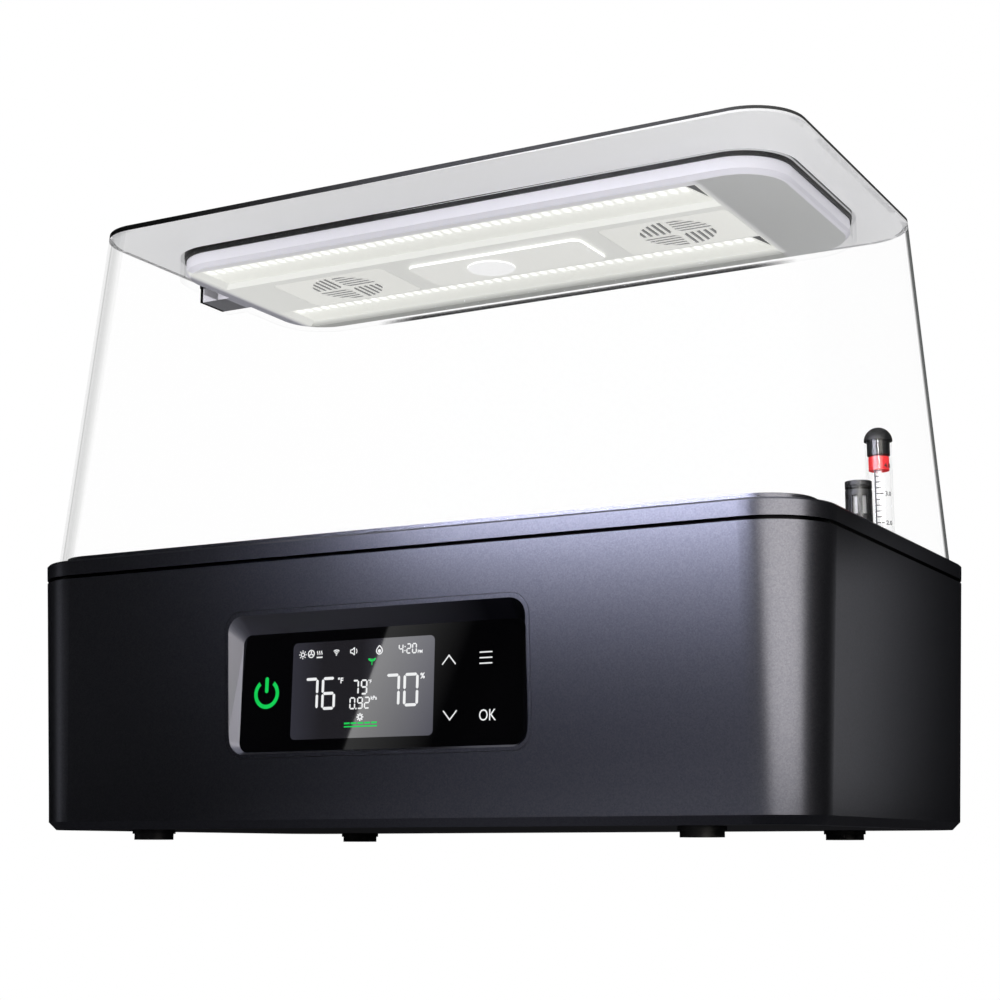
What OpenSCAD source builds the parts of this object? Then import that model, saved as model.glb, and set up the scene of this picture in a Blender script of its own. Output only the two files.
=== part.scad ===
// Seed propagation dome: a drafted base with a water tank, a cell tray, a control panel and a
// float gauge, under a clear dome that carries a lift-out light and fan module.
// Millimetres. Origin at the centre of the footprint on the table, +X right, -Y front, +Z up.

/* [Base] */
// Width of the base across its rim
base_w = 440; // [420:5:480]
// Depth of the base across its rim
base_d = 268; // [260:2:290]
// Height of the rim above the table
base_h = 144; // [140:1:156]
// Corner radius of the rim
corner_r = 34; // [31:1:38]
// Inward lean of each side over the base's height
draft = 6.6; // [5:0.2:8]
// Thickness of the base's wall
wall = 3; // [2.6:0.1:3.2]
// Chamfer round the bottom edge
chamfer = 4; // [2:0.5:4.5]
// Height of the rubber feet
foot_h = 5; // [4:0.5:7]
// Height of the shadow gap under the rim
groove_h = 1.8; // [1.2:0.2:2.4]

/* [Control panel] */
// Width of the recessed panel
panel_w = 170; // [150:1:180]
// Height of the recessed panel
panel_h = 72; // [66:1:76]
// Depth of the glass behind the front wall, at its middle
glass_depth = 5.5; // [4.5:0.5:6.5]

/* [Tray and tank] */
// Cells along the tray
cells_x = 7; // [5:1:8]
// Cells across the tray
cells_y = 4; // [3:1:5]
// Depth of the tray below the deck
tray_depth = 46; // [38:1:47]

/* [Dome] */
// Height of the dome above the rim
dome_h = 189; // [170:1:230]
// Lean of each end wall over the dome's height
lean_x = 10; // [7:0.5:11]
// Lean of the front and the back wall over the dome's height
lean_y = 19; // [14:0.5:21]
// Thickness of the dome's walls
dome_t = 3; // [2.4:0.1:3.2]

/* [Light module] */
// Distance that the light hangs below the dome's top plate
light_drop = 11; // [10:0.5:14]
// Height of the light's cover above its flange
cover_h = 10; // [9:0.5:14]
// Spacing of the light-emitting chips
led_pitch = 6; // [5:0.5:10]
// Width of the grille openings
grille_d = 43; // [38:1:43]

/* [Gauge and probe] */
// Height of the gauge's cap above the rim
gauge_h = 67; // [62:1:74]
// Diameter of the gauge's tube
tube_d = 13.6; // [12.8:0.2:14]
// Fall of the float from full to empty
float_travel = 46; // [40:1:46]
// Height of the probe cage above the rim
cage_h = 32; // [26:1:40]

/* [Hidden] */
$fn = 64;
// Slope of the base's sides
k = draft / (base_h - foot_h);
z_seam = base_h - 8;
z_shell = z_seam - groove_h;
z_ledge = base_h - 18;
z_deck = base_h - 3;
z_lip = base_h + 3.6;
// Insets from the rim's edge: dome channel and lip
ch_out = 5.2;
ch_in = 10.4;
lip_in = 13.6;
dome_inset = 6;
// Bottom plate
bp_w = base_w - 40;
bp_d = base_d - 40;
bp_t = 3;
foot_x = base_w / 2 - 67.3;
foot_y = base_d / 2 - 35.3;
screw_x = bp_w / 2 - 4;
screw_y = bp_d / 2 - 4;
// Tray opening in the deck
ox0 = -base_w / 2 + 20;
ox1 = base_w / 2 - 45;
oy0 = -base_d / 2 + 37;
oy1 = base_d / 2 - 21;
ocx = (ox0 + ox1) / 2;
ocy = (oy0 + oy1) / 2;
ow = ox1 - ox0;
od = oy1 - oy0;
tub_w = ow - 1.6;
tub_d = od - 1.6;
tub_t = 2;
z_tub = z_deck - tray_depth;
pitch_x = (tub_w - 2 * tub_t) / cells_x;
pitch_y = (tub_d - 2 * tub_t) / cells_y;
div_t = 1.6;
div_h = tray_depth - tub_t - 2;
// Tank
tank_t = 2.5;
tx0 = ox0 - 4;
tx1 = base_w / 2 - 13.5;
ty0 = oy0 - 3.5;
ty1 = oy1 + 4;
ly0 = -base_d / 2 + 79.5;
z_tank = foot_h + 19;
z_step = base_h - 56;
z_tank_top = base_h - 7.5;
// Gauge and probes
gx = base_w / 2 - 27;
gy = base_d / 2 - 82;
cy = gy - 36;
ry = gy - 72;
tube_r = tube_d / 2;
tube_in = tube_r - 0.9;
cap_r = tube_r + 0.55;
z_cap = base_h + gauge_h - cap_r;
z_bob = z_tank + tank_t + 1.5 + float_travel;
bob_h = 22;
z_ind = z_cap - 15.5;
z_tube = z_bob + bob_h + 12;
// Dome
z_top = base_h + dome_h;
z_plate = z_top - 3;
z_dome = base_h - 3.7;
sx = lean_x / dome_h;
sy = lean_y / dome_h;
dome_r = corner_r - dome_inset;
// Light module
lw = base_w - 2 * dome_inset - 2 * lean_x - 42;
ld = base_d - 2 * dome_inset - 2 * lean_y - 75;
lcx = -2;
lcy = 7.5;
lr = 28;
z_light = z_plate - light_drop;
z_flange = z_top + 1;
z_cover = z_flange + 2;
z_roof = z_cover + cover_h;
lt = 2.5;
z_in = z_light + lt;
tab_x = lcx - lw / 2;
tab_end = -dome_hx(z_top);
tab_w = 22;
tab_y = 4;
light_gap = 1.2;
seal_t = 0.8;
fan_x = [lcx - lw * 0.292, lcx + lw * 0.281];
fan_y = 9;
fan_h = 10;
fan_r = 21.7;
trough_x = lcx - 16;
trough_w = lw - 54;
// Margins of the lit troughs to the light's front and back edge, and the band between them for the fans
trough_front = 8;
trough_back = 10;
fan_band = 55;
trough_d = (ld - trough_front - trough_back - fan_band) / 2;
trough_y = [lcy - ld / 2 + trough_front + trough_d / 2, lcy + ld / 2 - trough_back - trough_d / 2];
trough_slope = 4.5;
trough_h = 5;
board_d = 12;
leds = floor((trough_w - 24) / led_pitch);
led_x = trough_x + 4.5;
led_back = (trough_d - 2 * trough_slope - board_d) * 5 / 14;
post_xy = [[lcx - lw * 0.445, 10], [lcx - lw * 0.15, 10], [lcx + lw * 0.137, 10],
           [lcx + lw * 0.393, 10], [lcx + lw * 0.456, lcy - ld / 2 + 16],
           [lcx + lw * 0.456, lcy + ld / 2 - 17]];
// Panel
panel_x = -1;
panel_z = (base_h + foot_h) / 2;
glass_w = panel_w - 10;
glass_h = panel_h - 12;
glass_t = 2;
glass_z = panel_z - 4;
glass_tilt = -2.1;
lean = atan(k);

// Half width, half depth and front face of the base at height z
function base_hx(z) = base_w / 2 - k * (base_h - z);
function base_hy(z) = base_d / 2 - k * (base_h - z);
function front_y(z) = -base_hy(z);

// Half width and half depth of the dome's outside at height z
function dome_hx(z) = base_w / 2 - dome_inset - sx * (z - base_h);
function dome_hy(z) = base_d / 2 - dome_inset - sy * (z - base_h);

// Rectangle with rounded corners
module rrect(w, d, r) {
    square([w - 2 * r, d], center = true);
    square([w, d - 2 * r], center = true);
    for (i = [-1, 1]) {
        for (j = [-1, 1]) {
            translate([i * (w / 2 - r), j * (d / 2 - r)]) circle(r);
        }
    }
}

// Upright slab with rounded vertical edges
module slab(w, d, r, h) {
    linear_extrude(h) rrect(w, d, r);
}

// Rounded box whose four sides lean out by e over its height, with conical corners
module draft_box(w, d, r, h, e) {
    hx = w / 2 - r;
    hy = d / 2 - r;
    for (i = [-1, 1]) {
        for (j = [-1, 1]) {
            translate([i * hx, j * hy, 0]) cylinder(r1 = r, r2 = r + e, h = h);
        }
    }
    rotate([90, 0, 0])
        linear_extrude(2 * hy, center = true)
            polygon([[-w / 2, 0], [w / 2, 0], [w / 2 + e, h], [-w / 2 - e, h]]);
    rotate([90, 0, 90])
        linear_extrude(2 * hx, center = true)
            polygon([[-d / 2, 0], [d / 2, 0], [d / 2 + e, h], [-d / 2 - e, h]]);
}

// Part of the base's drafted outside between two heights, moved in by an inset
module drafted(z0, z1, inset = 0) {
    translate([0, 0, z0])
        draft_box(2 * base_hx(z0) - 2 * inset, 2 * base_hy(z0) - 2 * inset,
                  corner_r - k * (base_h - z0) - inset, z1 - z0, k * (z1 - z0));
}

// Four-sided frustum from flat faces
module frustum(w0, d0, w1, d1, h) {
    intersection() {
        rotate([90, 0, 0])
            linear_extrude(max(d0, d1) + 2, center = true)
                polygon([[-w0 / 2, 0], [w0 / 2, 0], [w1 / 2, h], [-w1 / 2, h]]);
        rotate([90, 0, 90])
            linear_extrude(max(w0, w1) + 2, center = true)
                polygon([[-d0 / 2, 0], [d0 / 2, 0], [d1 / 2, h], [-d1 / 2, h]]);
    }
}

// Cutter that rounds the leaning edge of a frustum at +X +Y with a true cylinder
module edge_cutter(w0, d0, w1, d1, h, r) {
    ax = atan((w0 - w1) / 2 / h);
    ay = atan((d0 - d1) / 2 / h);
    nx = [cos(ax), 0, sin(ax)];
    ny = [0, cos(ay), sin(ay)];
    run = [(w1 - w0) / 2, (d1 - d0) / 2, h];
    len = norm(run);
    u = run / len;
    az = atan2(u[1], u[0]);
    el = acos(u[2]);
    e1 = [cos(az) * cos(el), sin(az) * cos(el), -sin(el)];
    e2 = [-sin(az), cos(az), 0];
    c = -(r / (1 + nx * ny)) * (nx + ny);
    out_x = c + (r + 8) * nx;
    out_y = c + (r + 8) * ny;
    out_c = 8 * (nx + ny);
    translate([w0 / 2, d0 / 2, 0])
        rotate([0, el, az])
            translate([0, 0, -20])
                linear_extrude(len + 40)
                    difference() {
                        polygon([[c * e1, c * e2], [out_x * e1, out_x * e2],
                                 [out_c * e1, out_c * e2], [out_y * e1, out_y * e2]]);
                        translate([c * e1, c * e2]) circle(r + 0.01);
                    }
}

// Frustum with its four leaning edges rounded
module round_frustum(w0, d0, w1, d1, h, r) {
    difference() {
        frustum(w0, d0, w1, d1, h);
        edge_cutter(w0, d0, w1, d1, h, r);
        mirror([1, 0, 0]) edge_cutter(w0, d0, w1, d1, h, r);
        mirror([0, 1, 0]) edge_cutter(w0, d0, w1, d1, h, r);
        mirror([1, 0, 0]) mirror([0, 1, 0]) edge_cutter(w0, d0, w1, d1, h, r);
    }
}

// Part of the dome's outside between two heights, moved in by t
module dome_form(z0, z1, t = 0) {
    ix = t * sqrt(1 + sx * sx);
    iy = t * sqrt(1 + sy * sy);
    translate([0, 0, z0])
        round_frustum(2 * dome_hx(z0) - 2 * ix, 2 * dome_hy(z0) - 2 * iy,
                      2 * dome_hx(z1) - 2 * ix, 2 * dome_hy(z1) - 2 * iy, z1 - z0, dome_r - t);
}

// Slab that stays parallel to the front wall, from depth a to depth b behind it
module front_slab(w, z0, z1, a, b) {
    translate([panel_x, 0, 0])
        rotate([90, 0, 90])
            linear_extrude(w, center = true)
                polygon([[front_y(z0) + a, z0], [front_y(z0) + b, z0],
                         [front_y(z1) + b, z1], [front_y(z1) + a, z1]]);
}

// Prism through the front wall with the panel's rounded outline
module panel_prism(w, h, r) {
    translate([panel_x, -base_d / 2 + 34, panel_z])
        rotate([90, 0, 0])
            linear_extrude(50) rrect(w, h, r);
}

// Frame of the tilted glass: local XY is the glass, local +Z points out of its face
module at_glass() {
    translate([panel_x, front_y(glass_z) + glass_depth, glass_z])
        rotate([90 + glass_tilt, 0, 0])
            children();
}

// Places of the six bottom screws
module at_bottom_screws() {
    for (i = [-1, 1]) {
        translate([0, i * screw_y, 0]) children();
        for (j = [-1, 1]) {
            translate([i * screw_x, j * (base_d / 2 - 74), 0]) children();
        }
    }
}

// Place and lean of a socket in the back wall
module at_back(x, z) {
    translate([x, base_hy(z), z])
        rotate([-90 - lean, 0, 0])
            children();
}

// Round power socket: flange, body, bore and centre pin, facing local +Z from the wall's face
module socket(body_r, bore_r, pin_r, depth) {
    difference() {
        union() {
            cylinder(r = body_r + 1.6, h = 1.4);
            translate([0, 0, -depth]) cylinder(r = body_r, h = depth + 0.5);
        }
        translate([0, 0, 1.5 - depth]) cylinder(r = bore_r, h = depth + 5);
    }
    translate([0, 0, 1 - depth]) cylinder(r = pin_r, h = depth - 1);
}

// Outline of the light's lower body with its tab, grown by g, the tab's end moved out by e
module light_outline(g, e = 0) {
    translate([lcx, lcy]) rrect(lw + 2 * g, ld + 2 * g, lr + g);
    translate([tab_end - e, tab_y - tab_w / 2 - g]) square([tab_x - tab_end + e + 20, tab_w + 2 * g]);
}

// Outline of the light's flange and cover, moved in by g, which ends at the dome's edge over the tab
module flange_outline(g) {
    translate([lcx, lcy]) rrect(lw + 12 - 2 * g, ld + 12 - 2 * g, lr + 6 - g);
    translate([tab_end + g, tab_y - tab_w / 2 - 6 + g])
        square([tab_x - tab_end + 20, tab_w + 12 - 2 * g]);
}

module base_shell() {
    color([0.09, 0.1, 0.15])
        difference() {
            union() {
                difference() {
                    union() {
                        drafted(foot_h + chamfer, z_shell);
                        translate([0, 0, foot_h])
                            draft_box(2 * base_hx(foot_h + chamfer) - 2 * chamfer,
                                      2 * base_hy(foot_h + chamfer) - 2 * chamfer,
                                      corner_r - k * (base_h - foot_h - chamfer) - chamfer,
                                      chamfer, chamfer);
                    }
                    drafted(foot_h + 5, z_shell + 1, wall);
                }
                difference() {
                    drafted(z_ledge - 4, z_ledge, wall - 0.5);
                    drafted(z_ledge - 5, z_ledge + 1, wall + 3.2);
                }
                at_bottom_screws() translate([0, 0, foot_h + 4]) cylinder(r = 4, h = 11);
            }
            translate([0, 0, foot_h - 1]) slab(bp_w + 0.4, bp_d + 0.4, 16, bp_t + 1);
            translate([0, 0, foot_h]) slab(bp_w - 16, bp_d - 16, 12, 6);
            at_bottom_screws() translate([0, 0, foot_h]) cylinder(r = 1.5, h = 13);
            panel_prism(panel_w, panel_h, 10);
            at_back(base_w / 2 - 70, foot_h + 31) translate([0, 0, -20]) cylinder(r = 4.1, h = 30);
            at_back(-base_w / 2 + 70, foot_h + 31) translate([0, 0, -20]) cylinder(r = 4.1, h = 30);
        }
}

module bottom_plate() {
    color([0.1, 0.1, 0.11])
        difference() {
            union() {
                translate([0, 0, foot_h]) slab(bp_w, bp_d, 16, bp_t);
                for (x = [-0.3, 0, 0.3]) {
                    for (y = [ly0 + 32, ty1 - 32]) {
                        translate([x * base_w, y, foot_h]) cylinder(r = 6, h = z_tank - 3 - foot_h);
                    }
                }
            }
            at_bottom_screws() translate([0, 0, foot_h - 1]) cylinder(r = 1.7, h = 6);
            at_bottom_screws() translate([0, 0, foot_h - 1]) cylinder(r = 3, h = 2.5);
        }
}

module rubber_feet() {
    color([0.05, 0.05, 0.05])
        for (i = [-1, 1]) {
            for (j = [-1, 1]) {
                translate([i * foot_x, j * foot_y, 0]) cylinder(r = 10, h = foot_h);
                translate([i * foot_x, j * foot_y, foot_h - 2]) cylinder(r = 11, h = 2);
            }
        }
}

module bottom_screws() {
    color([0.55, 0.55, 0.57])
        at_bottom_screws() {
            difference() {
                translate([0, 0, foot_h + 0.2]) cylinder(r = 2.8, h = 1.3);
                translate([-1.9, -0.4, foot_h]) cube([3.8, 0.8, 0.8]);
                translate([-0.4, -1.9, foot_h]) cube([0.8, 3.8, 0.8]);
            }
            translate([0, 0, foot_h + 1.2]) cylinder(r = 1.45, h = 11);
        }
}

module deck() {
    color([0.09, 0.1, 0.15])
        difference() {
            union() {
                drafted(z_seam, base_h - 1);
                translate([0, 0, base_h - 1])
                    draft_box(2 * base_hx(base_h - 1), 2 * base_hy(base_h - 1), corner_r - k, 1, -1);
                translate([0, 0, z_deck])
                    slab(base_w - 2 * ch_in, base_d - 2 * ch_in, corner_r - ch_in, z_lip - z_deck);
                drafted(z_ledge, z_seam + 1, wall + 0.2);
            }
            difference() {
                translate([0, 0, base_h - 4])
                    slab(base_w - 2 * ch_out, base_d - 2 * ch_out, corner_r - ch_out, 6);
                translate([0, 0, base_h - 5])
                    slab(base_w - 2 * ch_in, base_d - 2 * ch_in, corner_r - ch_in, 8);
            }
            translate([0, 0, z_deck])
                slab(base_w - 2 * lip_in, base_d - 2 * lip_in, corner_r - lip_in, 10);
            drafted(z_ledge - 1, z_deck - 3, wall + 2.7);
            translate([ocx, ocy, z_deck - 10]) slab(ow, od, 10, 20);
            translate([gx, gy, z_deck - 10]) cylinder(r = tube_r + 0.05, h = 20);
            translate([gx, ry, z_deck - 10]) cylinder(r = 2.6, h = 20);
        }
}

module water_tank() {
    color([0.16, 0.17, 0.19])
        difference() {
            union() {
                translate([(tx0 + tx1) / 2, (ty0 + ty1) / 2, z_step])
                    slab(tx1 - tx0, ty1 - ty0, 14, z_tank_top - z_step);
                translate([(tx0 + tx1) / 2, (ly0 + ty1) / 2, z_tank])
                    slab(tx1 - tx0, ty1 - ly0, 14, z_step - z_tank + 1);
            }
            translate([(tx0 + tx1) / 2, (ty0 + ty1) / 2, z_step + tank_t])
                slab(tx1 - tx0 - 2 * tank_t, ty1 - ty0 - 2 * tank_t, 11.5, 100);
            translate([(tx0 + tx1) / 2, (ly0 + ty1) / 2, z_tank + tank_t])
                slab(tx1 - tx0 - 2 * tank_t, ty1 - ly0 - 2 * tank_t, 11.5, 100);
        }
}

module heat_plate() {
    color([0.72, 0.73, 0.75])
        translate([0, (ly0 + ty1) / 2, z_tank - 3])
            slab(base_w - 60, ty1 - ly0 - 20, 8, 3);
}

module panel_bezel() {
    gy0 = front_y(glass_z) + glass_depth;
    color([0.07, 0.08, 0.11])
        difference() {
            union() {
                intersection() {
                    panel_prism(panel_w - 0.4, panel_h - 0.4, 9.8);
                    translate([panel_x, 0, 0])
                        rotate([90, 0, 90])
                            linear_extrude(panel_w, center = true)
                                polygon([[front_y(20), 20], [gy0 + 8, 20],
                                         [gy0 + 8, base_h - 20], [front_y(base_h - 20), base_h - 20]]);
                }
                intersection() {
                    panel_prism(panel_w + 12, panel_h + 12, 14);
                    front_slab(panel_w + 12, 20, base_h - 20, wall, wall + 2.4);
                }
            }
            hull() {
                translate([panel_x, front_y(panel_z) - 0.6, panel_z])
                    rotate([90 + lean, 0, 0])
                        linear_extrude(0.2) rrect(panel_w - 3.4, panel_h - 3.4, 8.5, $fn = 32);
                at_glass() linear_extrude(0.02) rrect(glass_w - 2, glass_h - 2, 5, $fn = 32);
            }
            at_glass() translate([0, 0, -glass_t]) slab(glass_w + 0.3, glass_h + 0.3, 4, glass_t);
            at_glass() translate([0, 0, -30]) slab(glass_w - 8, glass_h - 6, 3, 30);
        }
}

module panel_glass() {
    color([0.02, 0.02, 0.025])
        at_glass() translate([0, 0, -glass_t]) slab(glass_w, glass_h, 4, glass_t);
}

module display_module() {
    color([0.3, 0.33, 0.36])
        at_glass() translate([-10, 0, -glass_t - 4]) slab(88, 51, 1.5, 4);
}

module control_board() {
    color([0.05, 0.25, 0.12])
        at_glass() translate([0, 0, -glass_t - 5.6]) slab(glass_w - 12, glass_h - 8, 2, 1.6);
}

module power_inlet() {
    color([0.06, 0.06, 0.06])
        at_back(base_w / 2 - 70, foot_h + 31) socket(4, 2.75, 1, 9);
}

module light_outlet() {
    color([0.06, 0.06, 0.06])
        at_back(-base_w / 2 + 70, foot_h + 31) socket(4, 2.75, 1, 9);
}

module gauge_tube() {
    color([0.9, 0.93, 0.95, 0.4])
        difference() {
            union() {
                translate([gx, gy, z_tube]) cylinder(r = tube_r, h = z_cap - z_tube);
                translate([gx, gy, z_deck]) cylinder(r = tube_r + 2.6, h = 2);
            }
            translate([gx, gy, z_tube + 3]) cylinder(r = tube_in, h = z_cap - z_tube);
            translate([gx, gy, z_tube - 7]) cylinder(r = 1.3, h = 20);
        }
}

module gauge_cap() {
    color([0.03, 0.03, 0.03])
        translate([gx, gy, z_cap]) {
            intersection() {
                sphere(r = cap_r);
                cylinder(r = cap_r + 1, h = cap_r + 1);
            }
            translate([0, 0, -7.5]) cylinder(r = tube_in - 0.02, h = 8);
        }
}

module probe_cage() {
    z_cage = cage_h + 3;
    color([0.03, 0.03, 0.03])
        translate([gx, cy, z_deck])
            difference() {
                union() {
                    cylinder(r = 6.7, h = z_cage);
                    cylinder(r = 8.6, h = 2);
                }
                translate([0, 0, -1]) cylinder(r = 5.3, h = z_cage - 1);
                difference() {
                    translate([0, 0, z_cage - 4.4]) cylinder(r = 8, h = 0.9);
                    translate([0, 0, z_cage - 5]) cylinder(r = 6, h = 2);
                }
                for (a = [0 : 45 : 315]) {
                    rotate([0, 0, a]) translate([4, -1.4, z_cage - 17]) cube([5, 2.8, 9.4]);
                }
            }
}

module probe_sensor() {
    color([0.85, 0.86, 0.86])
        translate([gx, cy, z_deck]) cylinder(r = 4.4, h = cage_h - 2);
}

module root_probe() {
    color([0.6, 0.61, 0.62]) {
        translate([gx, ry, z_deck]) cylinder(r = 6, h = 3);
        translate([gx, ry, z_step + 2]) cylinder(r = 2.5, h = z_deck - z_step);
    }
}

module float_bob() {
    color([0.9, 0.9, 0.88])
        translate([gx, gy, z_bob]) cylinder(r = 9, h = bob_h);
}

module float_rod() {
    color([0.8, 0.8, 0.8])
        translate([gx, gy, z_bob + bob_h]) cylinder(r = 1.2, h = z_ind - z_bob - bob_h);
}

module float_indicator() {
    color([0.75, 0.06, 0.05])
        translate([gx, gy, z_ind]) cylinder(r = tube_in - 0.6, h = 7);
}

module tray_tub() {
    color([0.05, 0.05, 0.055])
        difference() {
            union() {
                translate([ocx, ocy, z_tub]) slab(tub_w, tub_d, 9, tray_depth + 1);
                translate([ocx, ocy, z_deck + 0.3]) slab(ow + 7, od + 7, 18, 1.5);
                for (i = [-1, 1]) {
                    translate([ocx + i * (ow / 2 + 1), ocy, z_deck + 8.3])
                        rotate([90, 0, 90])
                            linear_extrude(2, center = true) rrect(44, 16, 5);
                }
            }
            translate([ocx, ocy, z_tub + tub_t]) slab(tub_w - 2 * tub_t, tub_d - 2 * tub_t, 7, 60);
            for (i = [0 : cells_x - 1]) {
                for (j = [0 : cells_y - 1]) {
                    translate([ocx + (i - (cells_x - 1) / 2) * pitch_x,
                               ocy + (j - (cells_y - 1) / 2) * pitch_y, z_tub - 1])
                        cylinder(r = 3, h = 6);
                }
            }
        }
}

module long_dividers() {
    color([0.06, 0.06, 0.065])
        for (j = [1 : cells_y - 1]) {
            difference() {
                translate([ocx - tub_w / 2 + tub_t + 0.3, ocy + (j - cells_y / 2) * pitch_y - div_t / 2,
                           z_tub + tub_t])
                    cube([tub_w - 2 * tub_t - 0.6, div_t, div_h]);
                for (i = [1 : cells_x - 1]) {
                    translate([ocx + (i - cells_x / 2) * pitch_x - div_t / 2 - 0.2,
                               ocy + (j - cells_y / 2) * pitch_y - 5, z_tub + tub_t + div_h / 2])
                        cube([div_t + 0.4, 10, div_h]);
                }
            }
        }
}

module cross_dividers() {
    color([0.06, 0.06, 0.065])
        for (i = [1 : cells_x - 1]) {
            difference() {
                translate([ocx + (i - cells_x / 2) * pitch_x - div_t / 2, ocy - tub_d / 2 + tub_t + 0.3,
                           z_tub + tub_t])
                    cube([div_t, tub_d - 2 * tub_t - 0.6, div_h]);
                for (j = [1 : cells_y - 1]) {
                    translate([ocx + (i - cells_x / 2) * pitch_x - 5,
                               ocy + (j - cells_y / 2) * pitch_y - div_t / 2 - 0.2, z_tub + tub_t - 1])
                        cube([10, div_t + 0.4, div_h / 2 + 1]);
                }
            }
        }
}

module dome_shell() {
    color([0.9, 0.93, 0.95, 0.3])
        difference() {
            dome_form(z_dome, z_plate);
            dome_form(z_dome - 2, z_plate + 2, dome_t);
            translate([tab_end - 20, tab_y - tab_w / 2 - light_gap, z_light - 1.5])
                cube([40, tab_w + 2 * light_gap, 40]);
        }
}

module dome_top() {
    color([0.85, 0.86, 0.87, 0.5])
        difference() {
            union() {
                dome_form(z_plate, z_top);
                intersection() {
                    translate([0, 0, z_light - 1.5])
                        linear_extrude(z_plate - z_light + 2) light_outline(light_gap + 2.2, 10);
                    dome_form(z_light - 3, z_plate + 1, dome_t);
                }
            }
            translate([0, 0, z_light - 5]) linear_extrude(50) light_outline(light_gap, 20);
        }
}

module trough(y, g) {
    translate([trough_x, y, z_light - 0.01])
        frustum(trough_w + 2 * g, trough_d + 2 * g, trough_w - 12 + 2 * g,
                trough_d - 2 * trough_slope + 2 * g, trough_h);
}

module light_housing() {
    color([0.9, 0.9, 0.93])
        difference() {
            union() {
                difference() {
                    union() {
                        translate([lcx, lcy, z_light])
                            draft_box(lw - 5, ld - 5, lr - 2.5, 2.5, 2.5);
                        translate([lcx, lcy, z_light + 2.5]) slab(lw, ld, lr, z_flange - z_light - 2);
                        translate([tab_end + 2, tab_y - tab_w / 2, z_light])
                            cube([tab_x - tab_end + 8, tab_w, z_flange - z_light + 0.5]);
                        translate([0, 0, z_flange]) linear_extrude(2) flange_outline(0);
                    }
                    translate([lcx, lcy, z_in]) slab(lw - 2 * lt, ld - 2 * lt, lr - lt, 60);
                    translate([tab_end + 4, tab_y - tab_w / 2 + 2, z_in])
                        cube([tab_x - tab_end + 8, tab_w - 4, 60]);
                }
                for (y = trough_y) {
                    translate([trough_x, y, z_in - 0.5])
                        frustum(trough_w + 3, trough_d + 3, trough_w - 7, trough_d - 5, trough_h + 0.5);
                }
                for (p = post_xy) {
                    translate([p[0], p[1], z_in - 0.5]) cylinder(r = 3.4, h = z_roof - 2 - z_in + 0.5);
                }
                for (y = [-22, 36]) {
                    translate([lcx + lw * 0.44, y, z_in - 0.5]) cylinder(r = 2.6, h = 3.5);
                }
            }
            for (y = trough_y) {
                trough(y, 0);
            }
            for (x = fan_x) {
                translate([x, fan_y, z_light - 1]) cylinder(r = fan_r, h = 10);
                translate([x, fan_y, z_light - 1]) slab(74.3, 48.3, 4, 2.5);
            }
            for (p = post_xy) {
                translate([p[0], p[1], z_roof - 14]) cylinder(r = 1.2, h = 20);
            }
            translate([tab_end - 5, tab_y, z_light + 7]) rotate([0, 90, 0]) cylinder(r = 3.55, h = 15);
        }
}

module light_cover() {
    color([0.9, 0.9, 0.93])
        difference() {
            union() {
                translate([0, 0, z_cover]) linear_extrude(cover_h - 1.5) flange_outline(0);
                translate([lcx, lcy, z_roof - 1.5]) draft_box(lw + 12, ld + 12, lr + 6, 1.5, -1.5);
            }
            translate([0, 0, z_cover - 1]) linear_extrude(cover_h - 1) flange_outline(2);
            for (p = post_xy) {
                translate([p[0], p[1], z_roof - 5]) cylinder(r = 1.4, h = 10);
                translate([p[0], p[1], z_roof - 1.2]) cylinder(r = 2.8, h = 5);
            }
            for (x = fan_x) {
                for (i = [-4 : 4]) {
                    translate([x + i * 5, fan_y, z_roof - 5])
                        linear_extrude(10) rrect(2.4, 2 * sqrt(23 * 23 - 25 * i * i), 1.1);
                }
            }
        }
}

module light_gasket() {
    color([0.03, 0.03, 0.03])
        translate([0, 0, z_plate - 2.4])
            linear_extrude(z_flange - z_plate + 2.4)
                difference() {
                    light_outline(seal_t);
                    light_outline(0, 5);
                }
}

module tab_cap() {
    color([0.03, 0.03, 0.03])
        difference() {
            translate([tab_end, tab_y - tab_w / 2, z_light]) cube([2, tab_w, z_flange - z_light]);
            translate([tab_end - 5, tab_y, z_light + 7]) rotate([0, 90, 0]) cylinder(r = 3.55, h = 15);
        }
}

module grille(x) {
    color([0.86, 0.86, 0.89])
        translate([x, fan_y, z_light])
            difference() {
                slab(74, 48, 3.8, 1.5);
                for (q = [0 : 3]) {
                    for (i = [0 : 4]) {
                        rotate([0, 0, 90 * q])
                            translate([0, 0, -1])
                                linear_extrude(4)
                                    intersection() {
                                        difference() {
                                            circle(grille_d / 2 - 1);
                                            circle(4);
                                        }
                                        translate([1, 1]) square(grille_d);
                                        translate([2.2 + i * 3.8, 1])
                                            rotate([0, 0, 0]) square([2, grille_d]);
                                    }
                    }
                }
            }
}

module grille_left() {
    grille(fan_x[0]);
}

module grille_right() {
    grille(fan_x[1]);
}

module fan_frame(x) {
    color([0.07, 0.07, 0.07])
        translate([x, fan_y, z_in]) {
            difference() {
                slab(46, 46, 3, fan_h);
                translate([0, 0, -1]) cylinder(r = fan_r, h = fan_h + 2);
            }
            translate([0, 0, fan_h - 1.9]) cylinder(r = 10, h = 1.9);
            translate([0, 0, 3.3]) cylinder(r = 1.5, h = fan_h - 4);
            for (a = [45 : 90 : 315]) {
                rotate([0, 0, a]) translate([9, -1.2, fan_h - 1.9]) cube([13.5, 2.4, 1.9]);
            }
        }
}

module fan_frame_left() {
    fan_frame(fan_x[0]);
}

module fan_frame_right() {
    fan_frame(fan_x[1]);
}

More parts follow.
